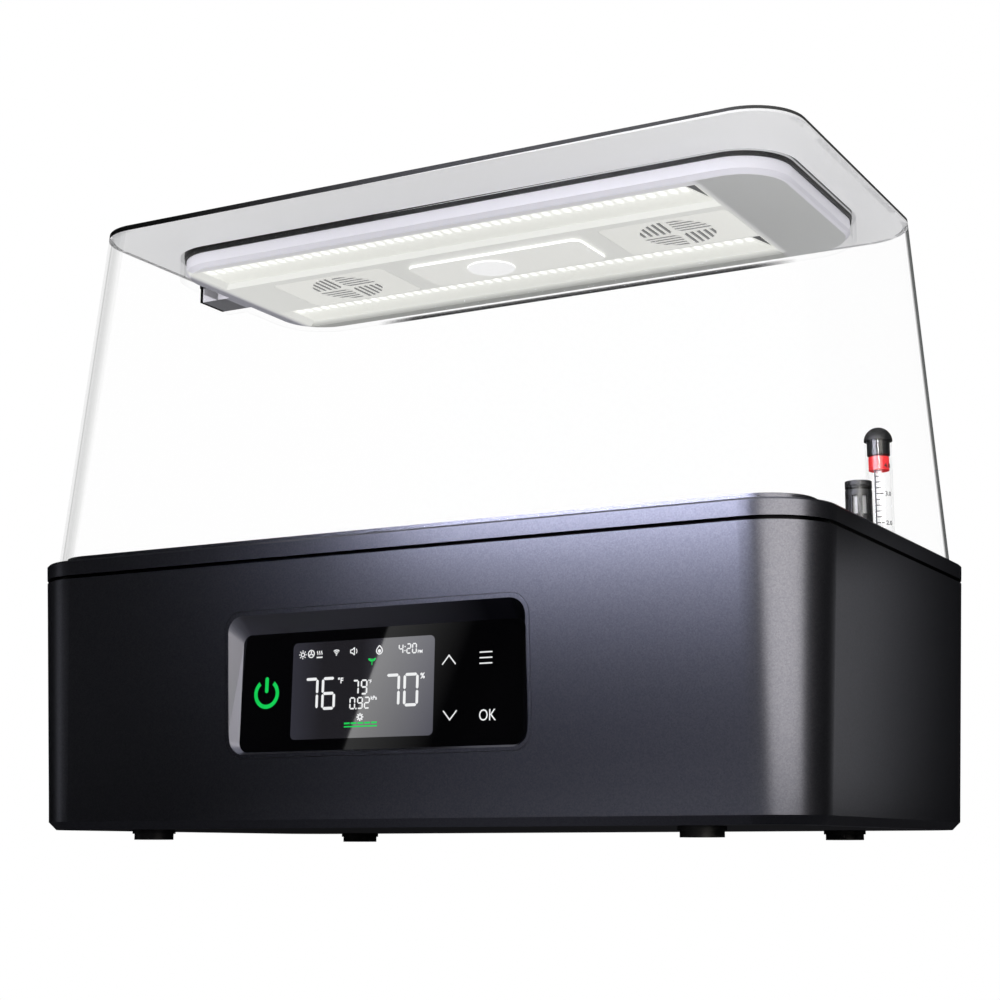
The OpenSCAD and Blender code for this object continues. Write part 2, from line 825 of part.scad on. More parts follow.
module impeller(x) {
    color([0.1, 0.1, 0.105])
        translate([x, fan_y, z_in + 1.2]) {
            difference() {
                cylinder(r = 9.5, h = 6.3);
                translate([0, 0, 1.8]) cylinder(r = 1.55, h = 10);
            }
            intersection() {
                difference() {
                    cylinder(r = fan_r - 0.9, h = 6.2);
                    translate([0, 0, -1]) cylinder(r = 9.2, h = 9);
                }
                for (a = [0 : 360 / 7 : 359]) {
                    rotate([0, 0, a])
                        translate([15, 0, 3.1])
                            rotate([38, 0, 0])
                                cube([16, 1.1, 12], center = true);
                }
            }
        }
}

module impeller_left() {
    impeller(fan_x[0]);
}

module impeller_right() {
    impeller(fan_x[1]);
}

module centre_plate() {
    color([0.88, 0.88, 0.91])
        translate([-4, 10, z_light - 1.2]) slab(lw * 0.295, 38, 5, 1.2);
}

module badge() {
    color([0.95, 0.95, 0.95])
        translate([-14.5, 12, z_light - 1.8]) cylinder(r = 13.5, h = 0.6);
}

module led_board(y) {
    color([0.95, 0.95, 0.93])
        translate([led_x, y - led_back, z_light + trough_h - 1.01])
            slab(trough_w - 24, board_d, 1, 1);
}

module led_board_front() {
    led_board(trough_y[0]);
}

module led_board_back() {
    led_board(trough_y[1]);
}

module led_chips(y) {
    color([1, 0.93, 0.7])
        for (i = [0 : leds - 1]) {
            translate([led_x + (i - (leds - 1) / 2) * led_pitch, y - led_back, z_light + trough_h - 1.41])
                cube([3, 3, 0.8], center = true);
        }
}

module led_chips_front() {
    led_chips(trough_y[0]);
}

module led_chips_back() {
    led_chips(trough_y[1]);
}

module driver_board() {
    color([0.05, 0.25, 0.12])
        translate([lcx + lw * 0.44, 7, z_in + 3]) slab(20, 70, 1, 1.6);
}

module light_socket() {
    color([0.12, 0.12, 0.12])
        translate([tab_end, tab_y, z_light + 7])
            rotate([0, -90, 0]) {
                difference() {
                    union() {
                        translate([0, 0, -14]) cylinder(r = 3.5, h = 14.5);
                        translate([0, 0, -6]) cylinder(r = 4.4, h = 2);
                    }
                    translate([0, 0, -12]) cylinder(r = 2.6, h = 20);
                }
                translate([0, 0, -13]) cylinder(r = 0.9, h = 12);
            }
}

module light_screws() {
    color([0.6, 0.6, 0.62])
        for (p = post_xy) {
            translate([p[0], p[1], z_roof - 1.2])
                difference() {
                    cylinder(r = 2.6, h = 1.1);
                    translate([-1.8, -0.4, 0.5]) cube([3.6, 0.8, 2]);
                    translate([-0.4, -1.8, 0.5]) cube([0.8, 3.6, 2]);
                }
            translate([p[0], p[1], z_roof - 12]) cylinder(r = 1.15, h = 11);
        }
}

base_shell();
bottom_plate();
rubber_feet();
bottom_screws();
deck();
water_tank();
heat_plate();
panel_bezel();
panel_glass();
display_module();
control_board();
power_inlet();
light_outlet();
gauge_tube();
gauge_cap();
probe_cage();
probe_sensor();
root_probe();
float_bob();
float_rod();
float_indicator();
tray_tub();
long_dividers();
cross_dividers();
dome_shell();
dome_top();
light_housing();
light_cover();
light_gasket();
tab_cap();
grille_left();
grille_right();
fan_frame_left();
fan_frame_right();
impeller_left();
impeller_right();
centre_plate();
badge();
led_board_front();
led_board_back();
led_chips_front();
led_chips_back();
driver_board();
light_socket();
light_screws();
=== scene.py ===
# %% [markdown]
# # A seed propagation dome
# The object is a seed-starting station: a dark metallic base with a control panel and a water gauge, a clear
# dome that lifts off, and a light with two fans that hangs in the dome's top. The imported CAD model is loaded as
# a fixed frame first, so every size below is a real one.

# %% Load the frame
import math
from functools import partial

import bmesh
import bpy
from mathutils import Matrix, Vector


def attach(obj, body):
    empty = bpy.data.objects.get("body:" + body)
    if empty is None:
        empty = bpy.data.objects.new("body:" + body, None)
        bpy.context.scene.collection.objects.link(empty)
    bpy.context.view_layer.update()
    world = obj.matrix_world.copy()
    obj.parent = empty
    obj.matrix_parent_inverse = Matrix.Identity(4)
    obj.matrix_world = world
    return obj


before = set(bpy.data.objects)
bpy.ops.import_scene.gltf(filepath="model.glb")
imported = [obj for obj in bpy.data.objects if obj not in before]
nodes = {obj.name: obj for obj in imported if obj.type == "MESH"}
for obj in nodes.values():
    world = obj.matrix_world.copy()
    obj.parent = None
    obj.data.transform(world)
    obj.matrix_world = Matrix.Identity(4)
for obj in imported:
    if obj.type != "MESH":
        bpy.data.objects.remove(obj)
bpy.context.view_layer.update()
scene = bpy.context.scene
MM = 0.001

# %% [markdown]
# ## The camera
# The photographer stood low at the right, with the lens at table height and tilted up a little, so the base's
# two faces run together and the lamp is seen from below. A long lens of 68 mm keeps the sides nearly straight.
# A direction from a turn and a tilt is easier to adjust than three angles, so the camera is aimed that way.

# %% Camera
def direction(turn, tilt):
    return Vector((math.sin(turn) * math.cos(tilt), math.cos(turn) * math.cos(tilt), math.sin(tilt)))


camera_data = bpy.data.cameras.new("low_camera")
camera_data.lens = 68.49
camera_data.sensor_width = 36.0
camera_data.clip_start = 0.01
camera = bpy.data.objects.new("low_camera", camera_data)
camera.location = (0.4810, -0.8925, -0.0070)
camera.rotation_mode = "QUATERNION"
camera.rotation_quaternion = direction(-0.4965, 0.1837).to_track_quat("-Z", "Y")
scene.collection.objects.link(camera)
scene.camera = camera
scene.view_settings.view_transform = "Standard"
print("camera", [round(v, 3) for v in camera.location])

# %% [markdown]
# ## Helpers for materials
# Colours are written as the hex values that a screen shows, and Blender works in linear light, so one function
# turns the one into the other. A second adds a node with its settings and links, and a node given as a value
# stands for its first output. Patterns are scaled by the size of one grain in millimetres, because Object
# coordinates count in metres. A new material comes with its coordinates and its own way to put a node into it, and
# its surface is put on the nodes that wear it. Most mouldings are a little uneven in tone, and a noise between two
# colours draws that.

# %% Material helpers
def tone(hex_colour):
    parts = [int(hex_colour[i:i + 2], 16) / 255 for i in (1, 3, 5)]
    return tuple(v / 12.92 if v <= 0.04045 else ((v + 0.055) / 1.055) ** 2.4 for v in parts) + (1.0,)


def add_node(tree, kind, links=None, **settings):
    node = tree.nodes.new("ShaderNode" + kind)
    for key, value in settings.items():
        setattr(node, key, value)
    for key, value in (links or {}).items():
        if isinstance(value, bpy.types.Node):
            value = value.outputs[0]
        if isinstance(value, bpy.types.NodeSocket):
            tree.links.new(value, node.inputs[key])
        else:
            node.inputs[key].default_value = value
    return node


def per_grain(millimetres):
    return 1000.0 / millimetres


def blank(name):
    material = bpy.data.materials.new(name)
    material.use_nodes = True
    material.node_tree.nodes.clear()
    put = partial(add_node, material.node_tree)
    return material, put, put("TexCoord").outputs


def wear(material, surface, *names):
    add_node(material.node_tree, "OutputMaterial", {"Surface": surface})
    for name in names:
        nodes[name].data.materials.clear()
        nodes[name].data.materials.append(material)
    print(material.name, "on", ", ".join(names) or "a new piece")


def grained(put, place, millimetres, detail, dark, light):
    grain = put("TexNoise", {"Vector": place["Object"], "Scale": per_grain(millimetres), "Detail": detail})
    return grain, put("MixRGB", {"Fac": grain, 1: tone(dark), 2: tone(light)})


print("dark navy in linear light", [round(v, 4) for v in tone("#55576a")[:3]])

# %% [markdown]
# ## Metallic paint
# The base is moulded in ABS and sprayed with a navy-black metallic lacquer. Its aluminium flakes lie at
# slightly different angles, so each one is a little lighter or darker than the next, and a highlight breaks
# into grain. Real flakes are under 0.1 mm; they are drawn 0.6 mm wide here, or the render would blur them away.
# The shadow gap under the rim is painted near black between those two heights, as painted shade in the
# gap.

# %% Metallic paint
GROOVE_FOOT, GROOVE_TOP = 0.1347, 0.13606

paint, put, place = blank("metallic_paint")
flakes = put("TexVoronoi", {"Vector": place["Object"], "Scale": per_grain(0.6)})
flake_tone = put("MixRGB", {"Fac": flakes.outputs["Color"], 1: tone("#575861"), 2: tone("#64656d")})
drift = put("TexNoise", {"Vector": place["Object"], "Scale": per_grain(60), "Detail": 3.0})
gloss = put("MapRange", {"Value": drift, "To Min": 0.31, "To Max": 0.335})
flake_tilt = put("Bump", {"Height": flakes.outputs["Distance"], "Strength": 0.04, "Distance": 0.0002})
level = put("SeparateXYZ", {"Vector": place["Object"]})
over_shell = put("Math", {0: level.outputs["Z"], 1: GROOVE_FOOT}, operation="GREATER_THAN")
under_rim = put("Math", {0: level.outputs["Z"], 1: GROOVE_TOP}, operation="LESS_THAN")
groove_shade = put("Math", {0: over_shell, 1: under_rim}, operation="MULTIPLY")
# Painted shade: between the gap's two heights the paint turns near black.
paint_tone = put("MixRGB", {"Fac": groove_shade, 1: flake_tone, 2: tone("#08080a")})
skin = put("BsdfPrincipled", {
    "Base Color": paint_tone, "Metallic": 0.97, "Roughness": gloss, "Normal": flake_tilt})
wear(paint, skin, "base_shell", "deck")

# %% [markdown]
# ## Black mouldings
# The sockets, the lamp's tab and the fans are moulded in black ABS from a polished tool, so they shine with a
# soft edge. The bottom plate comes from a spark-eroded tool, whose fine pits scatter the light. A noise of a
# few millimetres moves the roughness, as the flow of the plastic does. The gauge's cap and the probe's cage are
# satin, and the cage has a fine ring turned in under its top edge, which a bump gives, with a band of painted
# shade drawn dark in it. A small helper measures how far a spot is from the ring's middle.

# %% Black ABS
def distance_from(put, middle, value):
    return put("Math", {0: put("Math", {0: value, 1: middle}, operation="SUBTRACT")}, operation="ABSOLUTE")


gloss_abs, put, place = blank("black_abs_polished")
flow, depth = grained(put, place, 6, 4.0, "#0b0b0c", "#141416")
shine = put("MapRange", {"Value": flow, "To Min": 0.16, "To Max": 0.27})
skin = put("BsdfPrincipled", {"Base Color": depth, "Roughness": shine, "IOR": 1.53})
wear(gloss_abs, skin, "power_inlet", "light_outlet", "light_socket", "tab_cap", "impeller_left", "impeller_right")

RING_HEIGHT = 0.1726
satin_abs, put, place = blank("black_abs_satin")
flow, depth = grained(put, place, 2, 4.0, "#121214", "#1b1b1d")
level = put("SeparateXYZ", {"Vector": place["Object"]})
ring_away = distance_from(put, RING_HEIGHT, level.outputs["Z"])
ring = put("MapRange", {"Value": ring_away, "From Min": 0.0011, "From Max": 0.0007})
# Painted shade: the ring's middle is drawn near black, as the shade inside the groove.
ring_painted_shade = put("MixRGB", {"Fac": ring, 1: depth, 2: tone("#060606")})
ring_depth = put("Bump", {"Height": ring, "Strength": 0.6, "Distance": 0.0006}, invert=True)
skin = put("BsdfPrincipled", {"Base Color": ring_painted_shade, "Roughness": 0.5, "IOR": 1.45, "Normal": ring_depth})
wear(satin_abs, skin, "probe_cage", "gauge_cap")

pitted_abs, put, place = blank("black_abs_spark_textured")
pits, pit_tone = grained(put, place, 0.8, 2.0, "#101012", "#1d1d20")
pit_depth = put("Bump", {"Height": pits, "Strength": 0.25, "Distance": 0.0003})
skin = put("BsdfPrincipled", {"Base Color": pit_tone, "Roughness": 0.55, "IOR": 1.53, "Normal": pit_depth})
wear(pitted_abs, skin, "bottom_plate", "fan_frame_left", "fan_frame_right")

# %% [markdown]
# ## Tray and tank
# Both are polypropylene, which looks a little waxy. The tray is black and vacuum formed, so its surface is dull
# and slightly uneven. The tank is a dark grey moulding with a satin finish.

# %% Polypropylene
tray_pp, put, place = blank("black_polypropylene_formed")
waves, wave_tone = grained(put, place, 2.5, 5.0, "#141416", "#222225")
wave_depth = put("Bump", {"Height": waves, "Strength": 0.2, "Distance": 0.0004})
skin = put("BsdfPrincipled", {"Base Color": wave_tone, "Roughness": 0.48, "IOR": 1.49, "Normal": wave_depth})
wear(tray_pp, skin, "tray_tub", "long_dividers", "cross_dividers")

tank_pp, put, place = blank("grey_polypropylene_satin")
cloud, cloud_tone = grained(put, place, 18, 4.0, "#3a3c42", "#4a4c52")
satin = put("MapRange", {"Value": cloud, "To Min": 0.34, "To Max": 0.46})
skin = put("BsdfPrincipled", {"Base Color": cloud_tone, "Roughness": satin, "IOR": 1.49})
wear(tank_pp, skin, "water_tank")

# %% [markdown]
# ## Rubber, steel and aluminium
# The feet and the light's gasket are soft black rubber with a low sheen and a dusty bloom. The screws and the
# probe's rod are bright zinc-plated steel with turning marks, and the heating plate is rolled aluminium with
# lines along it.

# %% Rubber and metals
rubber, put, place = blank("black_rubber_moulded")
_, bloom_tone = grained(put, place, 1.6, 6.0, "#0d0d0e", "#1a1a1b")
skin = put("BsdfPrincipled", {"Base Color": bloom_tone, "Roughness": 0.45, "IOR": 1.52})
wear(rubber, skin, "rubber_feet", "light_gasket")

steel, put, place = blank("zinc_plated_steel")
turning, steel_tone = grained(put, place, 0.7, 3.0, "#9fa2a8", "#c9cbd0")
turned = put("MapRange", {"Value": turning, "To Min": 0.22, "To Max": 0.4})
skin = put("BsdfPrincipled", {"Base Color": steel_tone, "Metallic": 1.0, "Roughness": turned})
wear(steel, skin, "bottom_screws", "light_screws", "root_probe")

aluminium, put, place = blank("rolled_aluminium")
along = put("Mapping", {"Vector": place["Object"], "Scale": (0.02, 1.0, 1.0)})
lines = put("TexNoise", {"Vector": along, "Scale": per_grain(0.6), "Detail": 2.0})
line_tone = put("MixRGB", {"Fac": lines, 1: tone("#b3b6ba"), 2: tone("#d3d5d8")})
skin = put("BsdfPrincipled", {"Base Color": line_tone, "Metallic": 1.0, "Roughness": 0.34})
wear(aluminium, skin, "heat_plate")

# %% [markdown]
# ## The panel's frame and glass
# The bezel's flat edge is painted as the base is. Its slopes carry painted shade that goes darker towards the
# right, and the slope at the left end carries a painted highlight in a bright grey, with a rougher finish. The
# slopes are told apart by the surface's own direction. The cover glass is printed black on its back, so it is a
# deep black with a hard mirror on top, waved a little.

# %% Panel materials
bezel_paint, put, place = blank("satin_black_paint")
specks = put("TexVoronoi", {"Vector": place["Object"], "Scale": per_grain(0.8)})
speck_tone = put("MixRGB", {"Fac": specks.outputs["Color"], 1: tone("#55565f"), 2: tone("#66676f")})
spot = put("SeparateXYZ", {"Vector": place["Object"]})
lies = put("SeparateXYZ", {"Vector": place["Normal"]})
length = put("MapRange", {"Value": spot.outputs["X"], "From Min": -0.09, "From Max": 0.06})
# Painted shade: the slopes go from a mid grey at the left to near black at the right.
slope_painted_shade = put("MixRGB", {"Fac": length, 1: tone("#8f8f99"), 2: tone("#15151c")})
slope = put("MapRange", {"Value": lies.outputs["Y"], "From Min": -0.97, "From Max": -0.93})
faced_tone = put("MixRGB", {"Fac": slope, 1: speck_tone, 2: slope_painted_shade})
left_side = put("MapRange", {"Value": lies.outputs["X"], "From Min": 0.2, "From Max": 0.38})
# Painted highlight: the slope at the left end is drawn a bright grey.
bezel_paint_and_painted_light = put("MixRGB", {"Fac": left_side, 1: faced_tone, 2: tone("#7c7d86")})
left_slope_roughness = put("MapRange", {"Value": left_side, "To Min": 0.32, "To Max": 0.46})
skin = put("BsdfPrincipled", {"Base Color": bezel_paint_and_painted_light, "Metallic": 0.97, "Roughness": left_slope_roughness})
wear(bezel_paint, skin, "panel_bezel")

cover_glass, put, place = blank("black_printed_glass")
ripple, ink = grained(put, place, 70, 1.0, "#020203", "#050506")
ripple_depth = put("Bump", {"Height": ripple, "Strength": 0.02, "Distance": 0.0004})
skin = put("BsdfPrincipled", {"Base Color": ink, "Roughness": 0.02, "IOR": 1.5, "Normal": ripple_depth})
wear(cover_glass, skin, "panel_glass")

board, put, place = blank("solder_mask_board")
tracks = put("TexBrick", {
    "Vector": place["Object"], "Scale": per_grain(4), "Color1": tone("#0f4a2a"), "Color2": tone("#135634"),
    "Mortar": tone("#1d7045"), "Mortar Size": 0.05})
skin = put("BsdfPrincipled", {"Base Color": tracks, "Roughness": 0.35, "IOR": 1.5})
wear(board, skin, "control_board", "driver_board")

# %% [markdown]
# ## Clear mouldings
# The dome's walls and the gauge's tube are moulded in clear polystyrene, only 3 mm thick, so they bend what is
# behind them too little to see. A solid glass shader would bend it at both faces of each wall and block the
# lamps. So a Transparent shader lets the light straight through, and a shiny one is mixed in faintly by how
# flat the surface is seen.

# %% Clear polystyrene
def mirror_share(put, power, least, most):
    slant = put("LayerWeight", {"Blend": 0.5})
    grazing = put("Math", {0: slant.outputs["Facing"], 1: power}, operation="POWER")
    return put("MapRange", {"Value": grazing, "To Min": least, "To Max": most})


clear, put, place = blank("clear_polystyrene")
haze = put("TexNoise", {"Vector": place["Object"], "Scale": per_grain(45), "Detail": 2.0})
hazed = put("MapRange", {"Value": haze, "To Min": 0.02, "To Max": 0.06})
skin = put("BsdfPrincipled", {"Base Color": tone("#8d9092"), "Roughness": hazed, "IOR": 1.59})
mirrored = mirror_share(put, 5.0, 0.002, 0.03)
wall = put("MixShader", {"Fac": mirrored, 1: put("BsdfTransparent"), 2: skin})
print("clear wall mixed from", len(clear.node_tree.nodes), "nodes")

# %% [markdown]
# ## Lines at the dome's corners
# At the rounded corners a real wall is seen along its length, and its look there is painted: a painted dark
# line at the far corner, and a painted pale grey band at the near one. A corner is where the surface faces
# sideways and forwards at once. Only the outer face is drawn on, and it is the one that faces away from the
# dome's middle, whichever side it is seen from.

# %% Corner lines
spot = put("SeparateXYZ", {"Vector": place["Object"]})
lies = put("SeparateXYZ", {"Vector": place["Normal"]})
turn = put("Math", {0: lies.outputs["X"], 1: lies.outputs["Y"]}, operation="MULTIPLY")
corner = put("MapRange", {"Value": turn, "From Min": 0.03, "From Max": 0.2})
outwards = put("VectorMath", {0: place["Normal"], 1: place["Object"]}, operation="DOT_PRODUCT")
side = put("NewGeometry")
turned = put("MapRange", {"Value": side.outputs["Backfacing"], "To Min": 1.0, "To Max": -1.0})
true_out = put("Math", {0: outwards.outputs["Value"], 1: turned}, operation="MULTIPLY")
outer = put("MapRange", {"Value": true_out, "From Min": -0.01, "From Max": 0.01})
outer_corner = put("Math", {0: corner, 1: outer}, operation="MULTIPLY")
slant = put("LayerWeight", {"Blend": 0.5})
far_end = put("Math", {0: spot.outputs["X"], 1: 0.0}, operation="GREATER_THAN")
line = put("MapRange", {
    "Value": slant.outputs["Facing"], "From Min": 0.60, "From Max": 0.70, "To Min": 0.0, "To Max": 0.92})
far_line = put("Math", {0: line, 1: far_end}, operation="MULTIPLY")
band = put("ValToRGB", {"Fac": slant.outputs["Facing"]})
stops = band.color_ramp.elements
stops[0].position, stops[0].color = 0.34, (0, 0, 0, 1)
stops[1].position, stops[1].color = 0.37, (0.17, 0.17, 0.17, 1)
for position, grey in ((0.62, 0.15), (0.66, 0.26), (0.71, 0.08), (1.0, 0.03)):
    stops.new(position).color = (grey, grey, grey, 1)
near_end = put("Math", {0: spot.outputs["X"], 1: 0.0}, operation="LESS_THAN")
near_band = put("Math", {0: band, 1: near_end}, operation="MULTIPLY")
painted_corner_shade = put("Math", {0: far_line, 1: near_band}, operation="ADD")
edge = put("Math", {0: painted_corner_shade, 1: outer_corner}, operation="MULTIPLY")
# The grey that the painted dark line and the painted pale band are drawn in.
shade = put("BsdfPrincipled", {"Base Color": tone("#4f5251"), "Roughness": 1.0, "Specular IOR Level": 0.0})
wear(clear, put("MixShader", {"Fac": edge, 1: wall, 2: shade}), "dome_shell")

# %% [markdown]
# ## The gauge's tube
# The tube is thicker for its size, so it mirrors the lamps more at its sides. Neither wall nor tube is asked to
# cast a shadow, as clear plastic casts next to none.

# %% Clear tube
clear_tube, put, place = blank("clear_polystyrene_tube")
haze = put("TexNoise", {"Vector": place["Object"], "Scale": per_grain(8), "Detail": 2.0})
hazed = put("MapRange", {"Value": haze, "To Min": 0.03, "To Max": 0.07})
skin = put("BsdfPrincipled", {"Base Color": tone("#f2f4f4"), "Metallic": 1.0, "Roughness": hazed})
mirrored = mirror_share(put, 4.0, 0.012, 0.2)
wear(clear_tube, put("MixShader", {"Fac": mirrored, 1: put("BsdfTransparent"), 2: skin}), "gauge_tube")

for name in ("dome_shell", "gauge_tube"):
    nodes[name].visible_shadow = False
    nodes[name].visible_diffuse = False

# %% [markdown]
# ## The dome's top plate
# The plate over the walls is the same plastic with a frosted underside, so it reads as a flat pale grey, and the
# underside has a faint painted glow. Its cut edge carries painted shade: near black at the front left, dark grey
# to the right, and thinner there. The edge is found by the surface's own direction: it is where the normal lies
# flat and the height is above the plate's underside.

# %% Frosted plate
frosted, put, place = blank("frosted_polystyrene")
lies = put("SeparateXYZ", {"Vector": place["Normal"]})
level = put("SeparateXYZ", {"Vector": place["Object"]})
upright = put("Math", {0: lies.outputs["Z"]}, operation="ABSOLUTE")
edge = put("Math", {0: upright, 1: 0.5}, operation="LESS_THAN")
lift = put("MapRange", {
    "Value": level.outputs["X"], "From Min": -0.06, "From Max": 0.19, "To Min": 0.3298, "To Max": 0.3313})
dark_part = put("Math", {0: level.outputs["Z"], 1: lift}, operation="GREATER_THAN")
fore = put("Math", {0: edge, 1: dark_part}, operation="MULTIPLY")
# Painted shade: the cut edge is drawn near black at the left and dark grey at the right.
plate_edge_painted_shade = put("MapRange", {
    "Value": level.outputs["X"], "From Min": -0.15, "From Max": 0.19, "To Min": 0.003, "To Max": 0.045})
_, frost_tone = grained(put, place, 0.8, 3.0, "#dededf", "#e8e8e9")
plate_tone = put("MixRGB", {"Fac": fore, 1: frost_tone, 2: plate_edge_painted_shade})
# Painted glow: the underside gives off a little light in its own tone.
under = put("Math", {0: lies.outputs["Z"], 1: -0.5}, operation="LESS_THAN")
painted_glow_strength = put("Math", {0: under, 1: 0.32}, operation="MULTIPLY")
plate = put("BsdfPrincipled", {
    "Base Color": plate_tone, "Roughness": 0.45, "IOR": 1.45,
    "Emission Color": frost_tone, "Emission Strength": painted_glow_strength})
print("plate mixed from", len(frosted.node_tree.nodes), "nodes")

# %% [markdown]
# ## The collar under the plate
# The collar that hangs from the plate round the light stays clear. The lowest rim of its back wall is seen edge
# on, and a painted dark line stands for it there, fading out towards both ends.

# %% Clear collar
PLATE_UNDERSIDE, COLLAR_RIM = 0.3299, 0.3192
COLLAR_BACK, COLLAR_MIDDLE = 0.06, 0.0045

gleam = put("BsdfPrincipled", {"Base Color": tone("#2b2c2e"), "Roughness": 0.05, "IOR": 1.59})
mirrored = mirror_share(put, 5.0, 0.006, 0.15)
behind = put("Math", {0: level.outputs["Y"], 1: COLLAR_BACK}, operation="GREATER_THAN")
lowest = put("Math", {0: level.outputs["Z"], 1: COLLAR_RIM}, operation="LESS_THAN")
back_rim = put("Math", {0: behind, 1: lowest}, operation="MULTIPLY")
rim_off = distance_from(put, COLLAR_MIDDLE, level.outputs["X"])
rim_fade = put("MapRange", {
    "Value": rim_off, "From Min": 0.1375, "From Max": 0.11, "To Min": 0.0, "To Max": 0.8})
# Painted shade: the back rim is drawn as a dark line that fades towards both ends.
painted_rim_line = put("Math", {0: back_rim, 1: rim_fade}, operation="MULTIPLY")
cover = put("Math", {0: mirrored, 1: painted_rim_line}, operation="MAXIMUM")
collar = put("MixShader", {"Fac": cover, 1: put("BsdfTransparent"), 2: gleam})
high = put("Math", {0: level.outputs["Z"], 1: PLATE_UNDERSIDE}, operation="GREATER_THAN")
wear(frosted, put("MixShader", {"Fac": high, 1: collar, 2: plate}), "dome_top")

# %% [markdown]
# ## The light's housing
# The housing is white ABS with a trace of lilac. Its underside has a painted glow between the two ends, as from
# the lamps beside it, and its sloping trough sides there are drawn a little grey as painted shade. The ends and
# the tab, which no lamp reaches, carry painted shade in plain greys.

# %% White ABS housing
LAMP_MIDDLE, TAB_END = -0.0185, -0.1855

white_abs, put, place = blank("white_abs_moulded")
grain, grain_tone = grained(put, place, 1.2, 4.0, "#e6e4ee", "#f0eff6")
grain_depth = put("Bump", {"Height": grain, "Strength": 0.05, "Distance": 0.0003})
spot = put("SeparateXYZ", {"Vector": place["Object"]})
lies = put("SeparateXYZ", {"Vector": place["Normal"]})
flat = put("MapRange", {"Value": lies.outputs["Z"], "From Min": -0.85, "From Max": -0.95})
tilted = put("MapRange", {"Value": lies.outputs["Z"], "From Min": -0.4, "From Max": -0.6})
off_middle = distance_from(put, LAMP_MIDDLE, spot.outputs["X"])
lengthways = put("MapRange", {"Value": off_middle, "From Min": 0.160, "From Max": 0.156})
past_lip = put("MapRange", {"Value": spot.outputs["Y"], "From Min": -0.0572, "From Max": -0.0560})
lip_share = put("MapRange", {"Value": past_lip, "To Min": 0.5, "To Max": 1.0})
lit_faces = put("MixRGB", {"Fac": past_lip, 1: flat, 2: tilted})
shining = put("Math", {0: lit_faces, 1: lip_share}, operation="MULTIPLY")
inward = put("MapRange", {
    "Value": spot.outputs["Y"], "From Min": 0.0685, "From Max": 0.0665, "To Min": 0.03, "To Max": 0.42})
glow = put("Math", {0: lengthways, 1: inward}, operation="MULTIPLY")
lit_zone = put("Math", {0: past_lip, 1: lengthways}, operation="MULTIPLY")
lit_side = put("Math", {0: lit_zone, 1: tilted}, operation="MULTIPLY")
# Painted shade: the sloping sides in the lit part are drawn a little greyer.
body_tone_with_painted_shade = put("MixRGB", {"Fac": lit_side, 1: grain_tone, 2: tone("#d0d1cd")})
# Painted glow: the underside between the ends gives off light, as from the lamps beside it.
painted_glow_strength = put("Math", {0: glow, 1: shining}, operation="MULTIPLY")
# Painted shade: the flat underside at the ends and at the tab is drawn in plain greys.
unlit = put("Math", {0: 1.0, 1: lengthways}, operation="SUBTRACT")
shaded = put("Math", {0: unlit, 1: flat}, operation="MULTIPLY")
at_tab = put("Math", {0: spot.outputs["X"], 1: TAB_END}, operation="LESS_THAN")
at_left = put("Math", {0: spot.outputs["X"], 1: 0.0}, operation="LESS_THAN")
end_painted_shade = put("MixRGB", {"Fac": at_left, 1: tone("#e8e9e8"), 2: tone("#bcbcc6")})
shade_tone = put("MixRGB", {"Fac": at_tab, 1: end_painted_shade, 2: tone("#85858a")})
abs_tone = put("MixRGB", {"Fac": shaded, 1: body_tone_with_painted_shade, 2: shade_tone})
skin = put("BsdfPrincipled", {
    "Base Color": abs_tone, "Roughness": 0.38, "IOR": 1.53, "Normal": grain_depth,
    "Emission Color": tone("#f4f4f0"), "Emission Strength": painted_glow_strength})
wear(white_abs, skin, "light_housing", "light_cover", "led_board_front", "led_board_back")

# %% [markdown]
# ## Grilles, centre plate and badge
# The fans' grilles have a painted glow, as if lit through, and the sides of their slots a grey painted shade.
# The centre plate's edges carry a painted highlight, as if they caught the lamps. The badge is a bare disc of
# white enamel with a painted glow.

# %% Lit white mouldings
lit_abs, put, place = blank("white_abs_painted_glowing")
_, grain_tone = grained(put, place, 1.2, 4.0, "#e6e6e1", "#f2f2ed")
lies = put("SeparateXYZ", {"Vector": place["Normal"]})
down = put("MapRange", {"Value": lies.outputs["Z"], "From Min": -0.4, "From Max": -0.6})
# Painted shade: the slot walls are drawn grey.
slot_painted_shade = put("MixRGB", {"Fac": down, 1: tone("#9a9a9e"), 2: grain_tone})
# Painted glow: the grilles give off light of their own.
painted_glow_strength = put("MapRange", {"Value": down, "To Min": 0.15, "To Max": 0.46})
skin = put("BsdfPrincipled", {
    "Base Color": slot_painted_shade, "Roughness": 0.38, "IOR": 1.53,
    "Emission Color": grain_tone, "Emission Strength": painted_glow_strength})
wear(lit_abs, skin, "grille_left", "grille_right")

bright_abs, put, place = blank("white_abs_bright_edged")
_, grain_tone = grained(put, place, 1.2, 4.0, "#e4e4df", "#efefea")
lies = put("SeparateXYZ", {"Vector": place["Normal"]})
# Painted highlight: the plate's sides glow almost white, and its flat face glows less.
painted_edge_highlight = put("MapRange", {
    "Value": lies.outputs["Z"], "From Min": -0.95, "From Max": -0.6, "To Min": 0.42, "To Max": 0.95})
skin = put("BsdfPrincipled", {
    "Base Color": grain_tone, "Roughness": 0.38, "IOR": 1.53,
    "Emission Color": tone("#fbfbf7"), "Emission Strength": painted_edge_highlight})
wear(bright_abs, skin, "centre_plate")

enamel, put, place = blank("white_enamel_disc")
peel, peel_tone = grained(put, place, 1.5, 2.0, "#f6f6f6", "#ffffff")
peel_depth = put("Bump", {"Height": peel, "Strength": 0.04, "Distance": 0.0003})
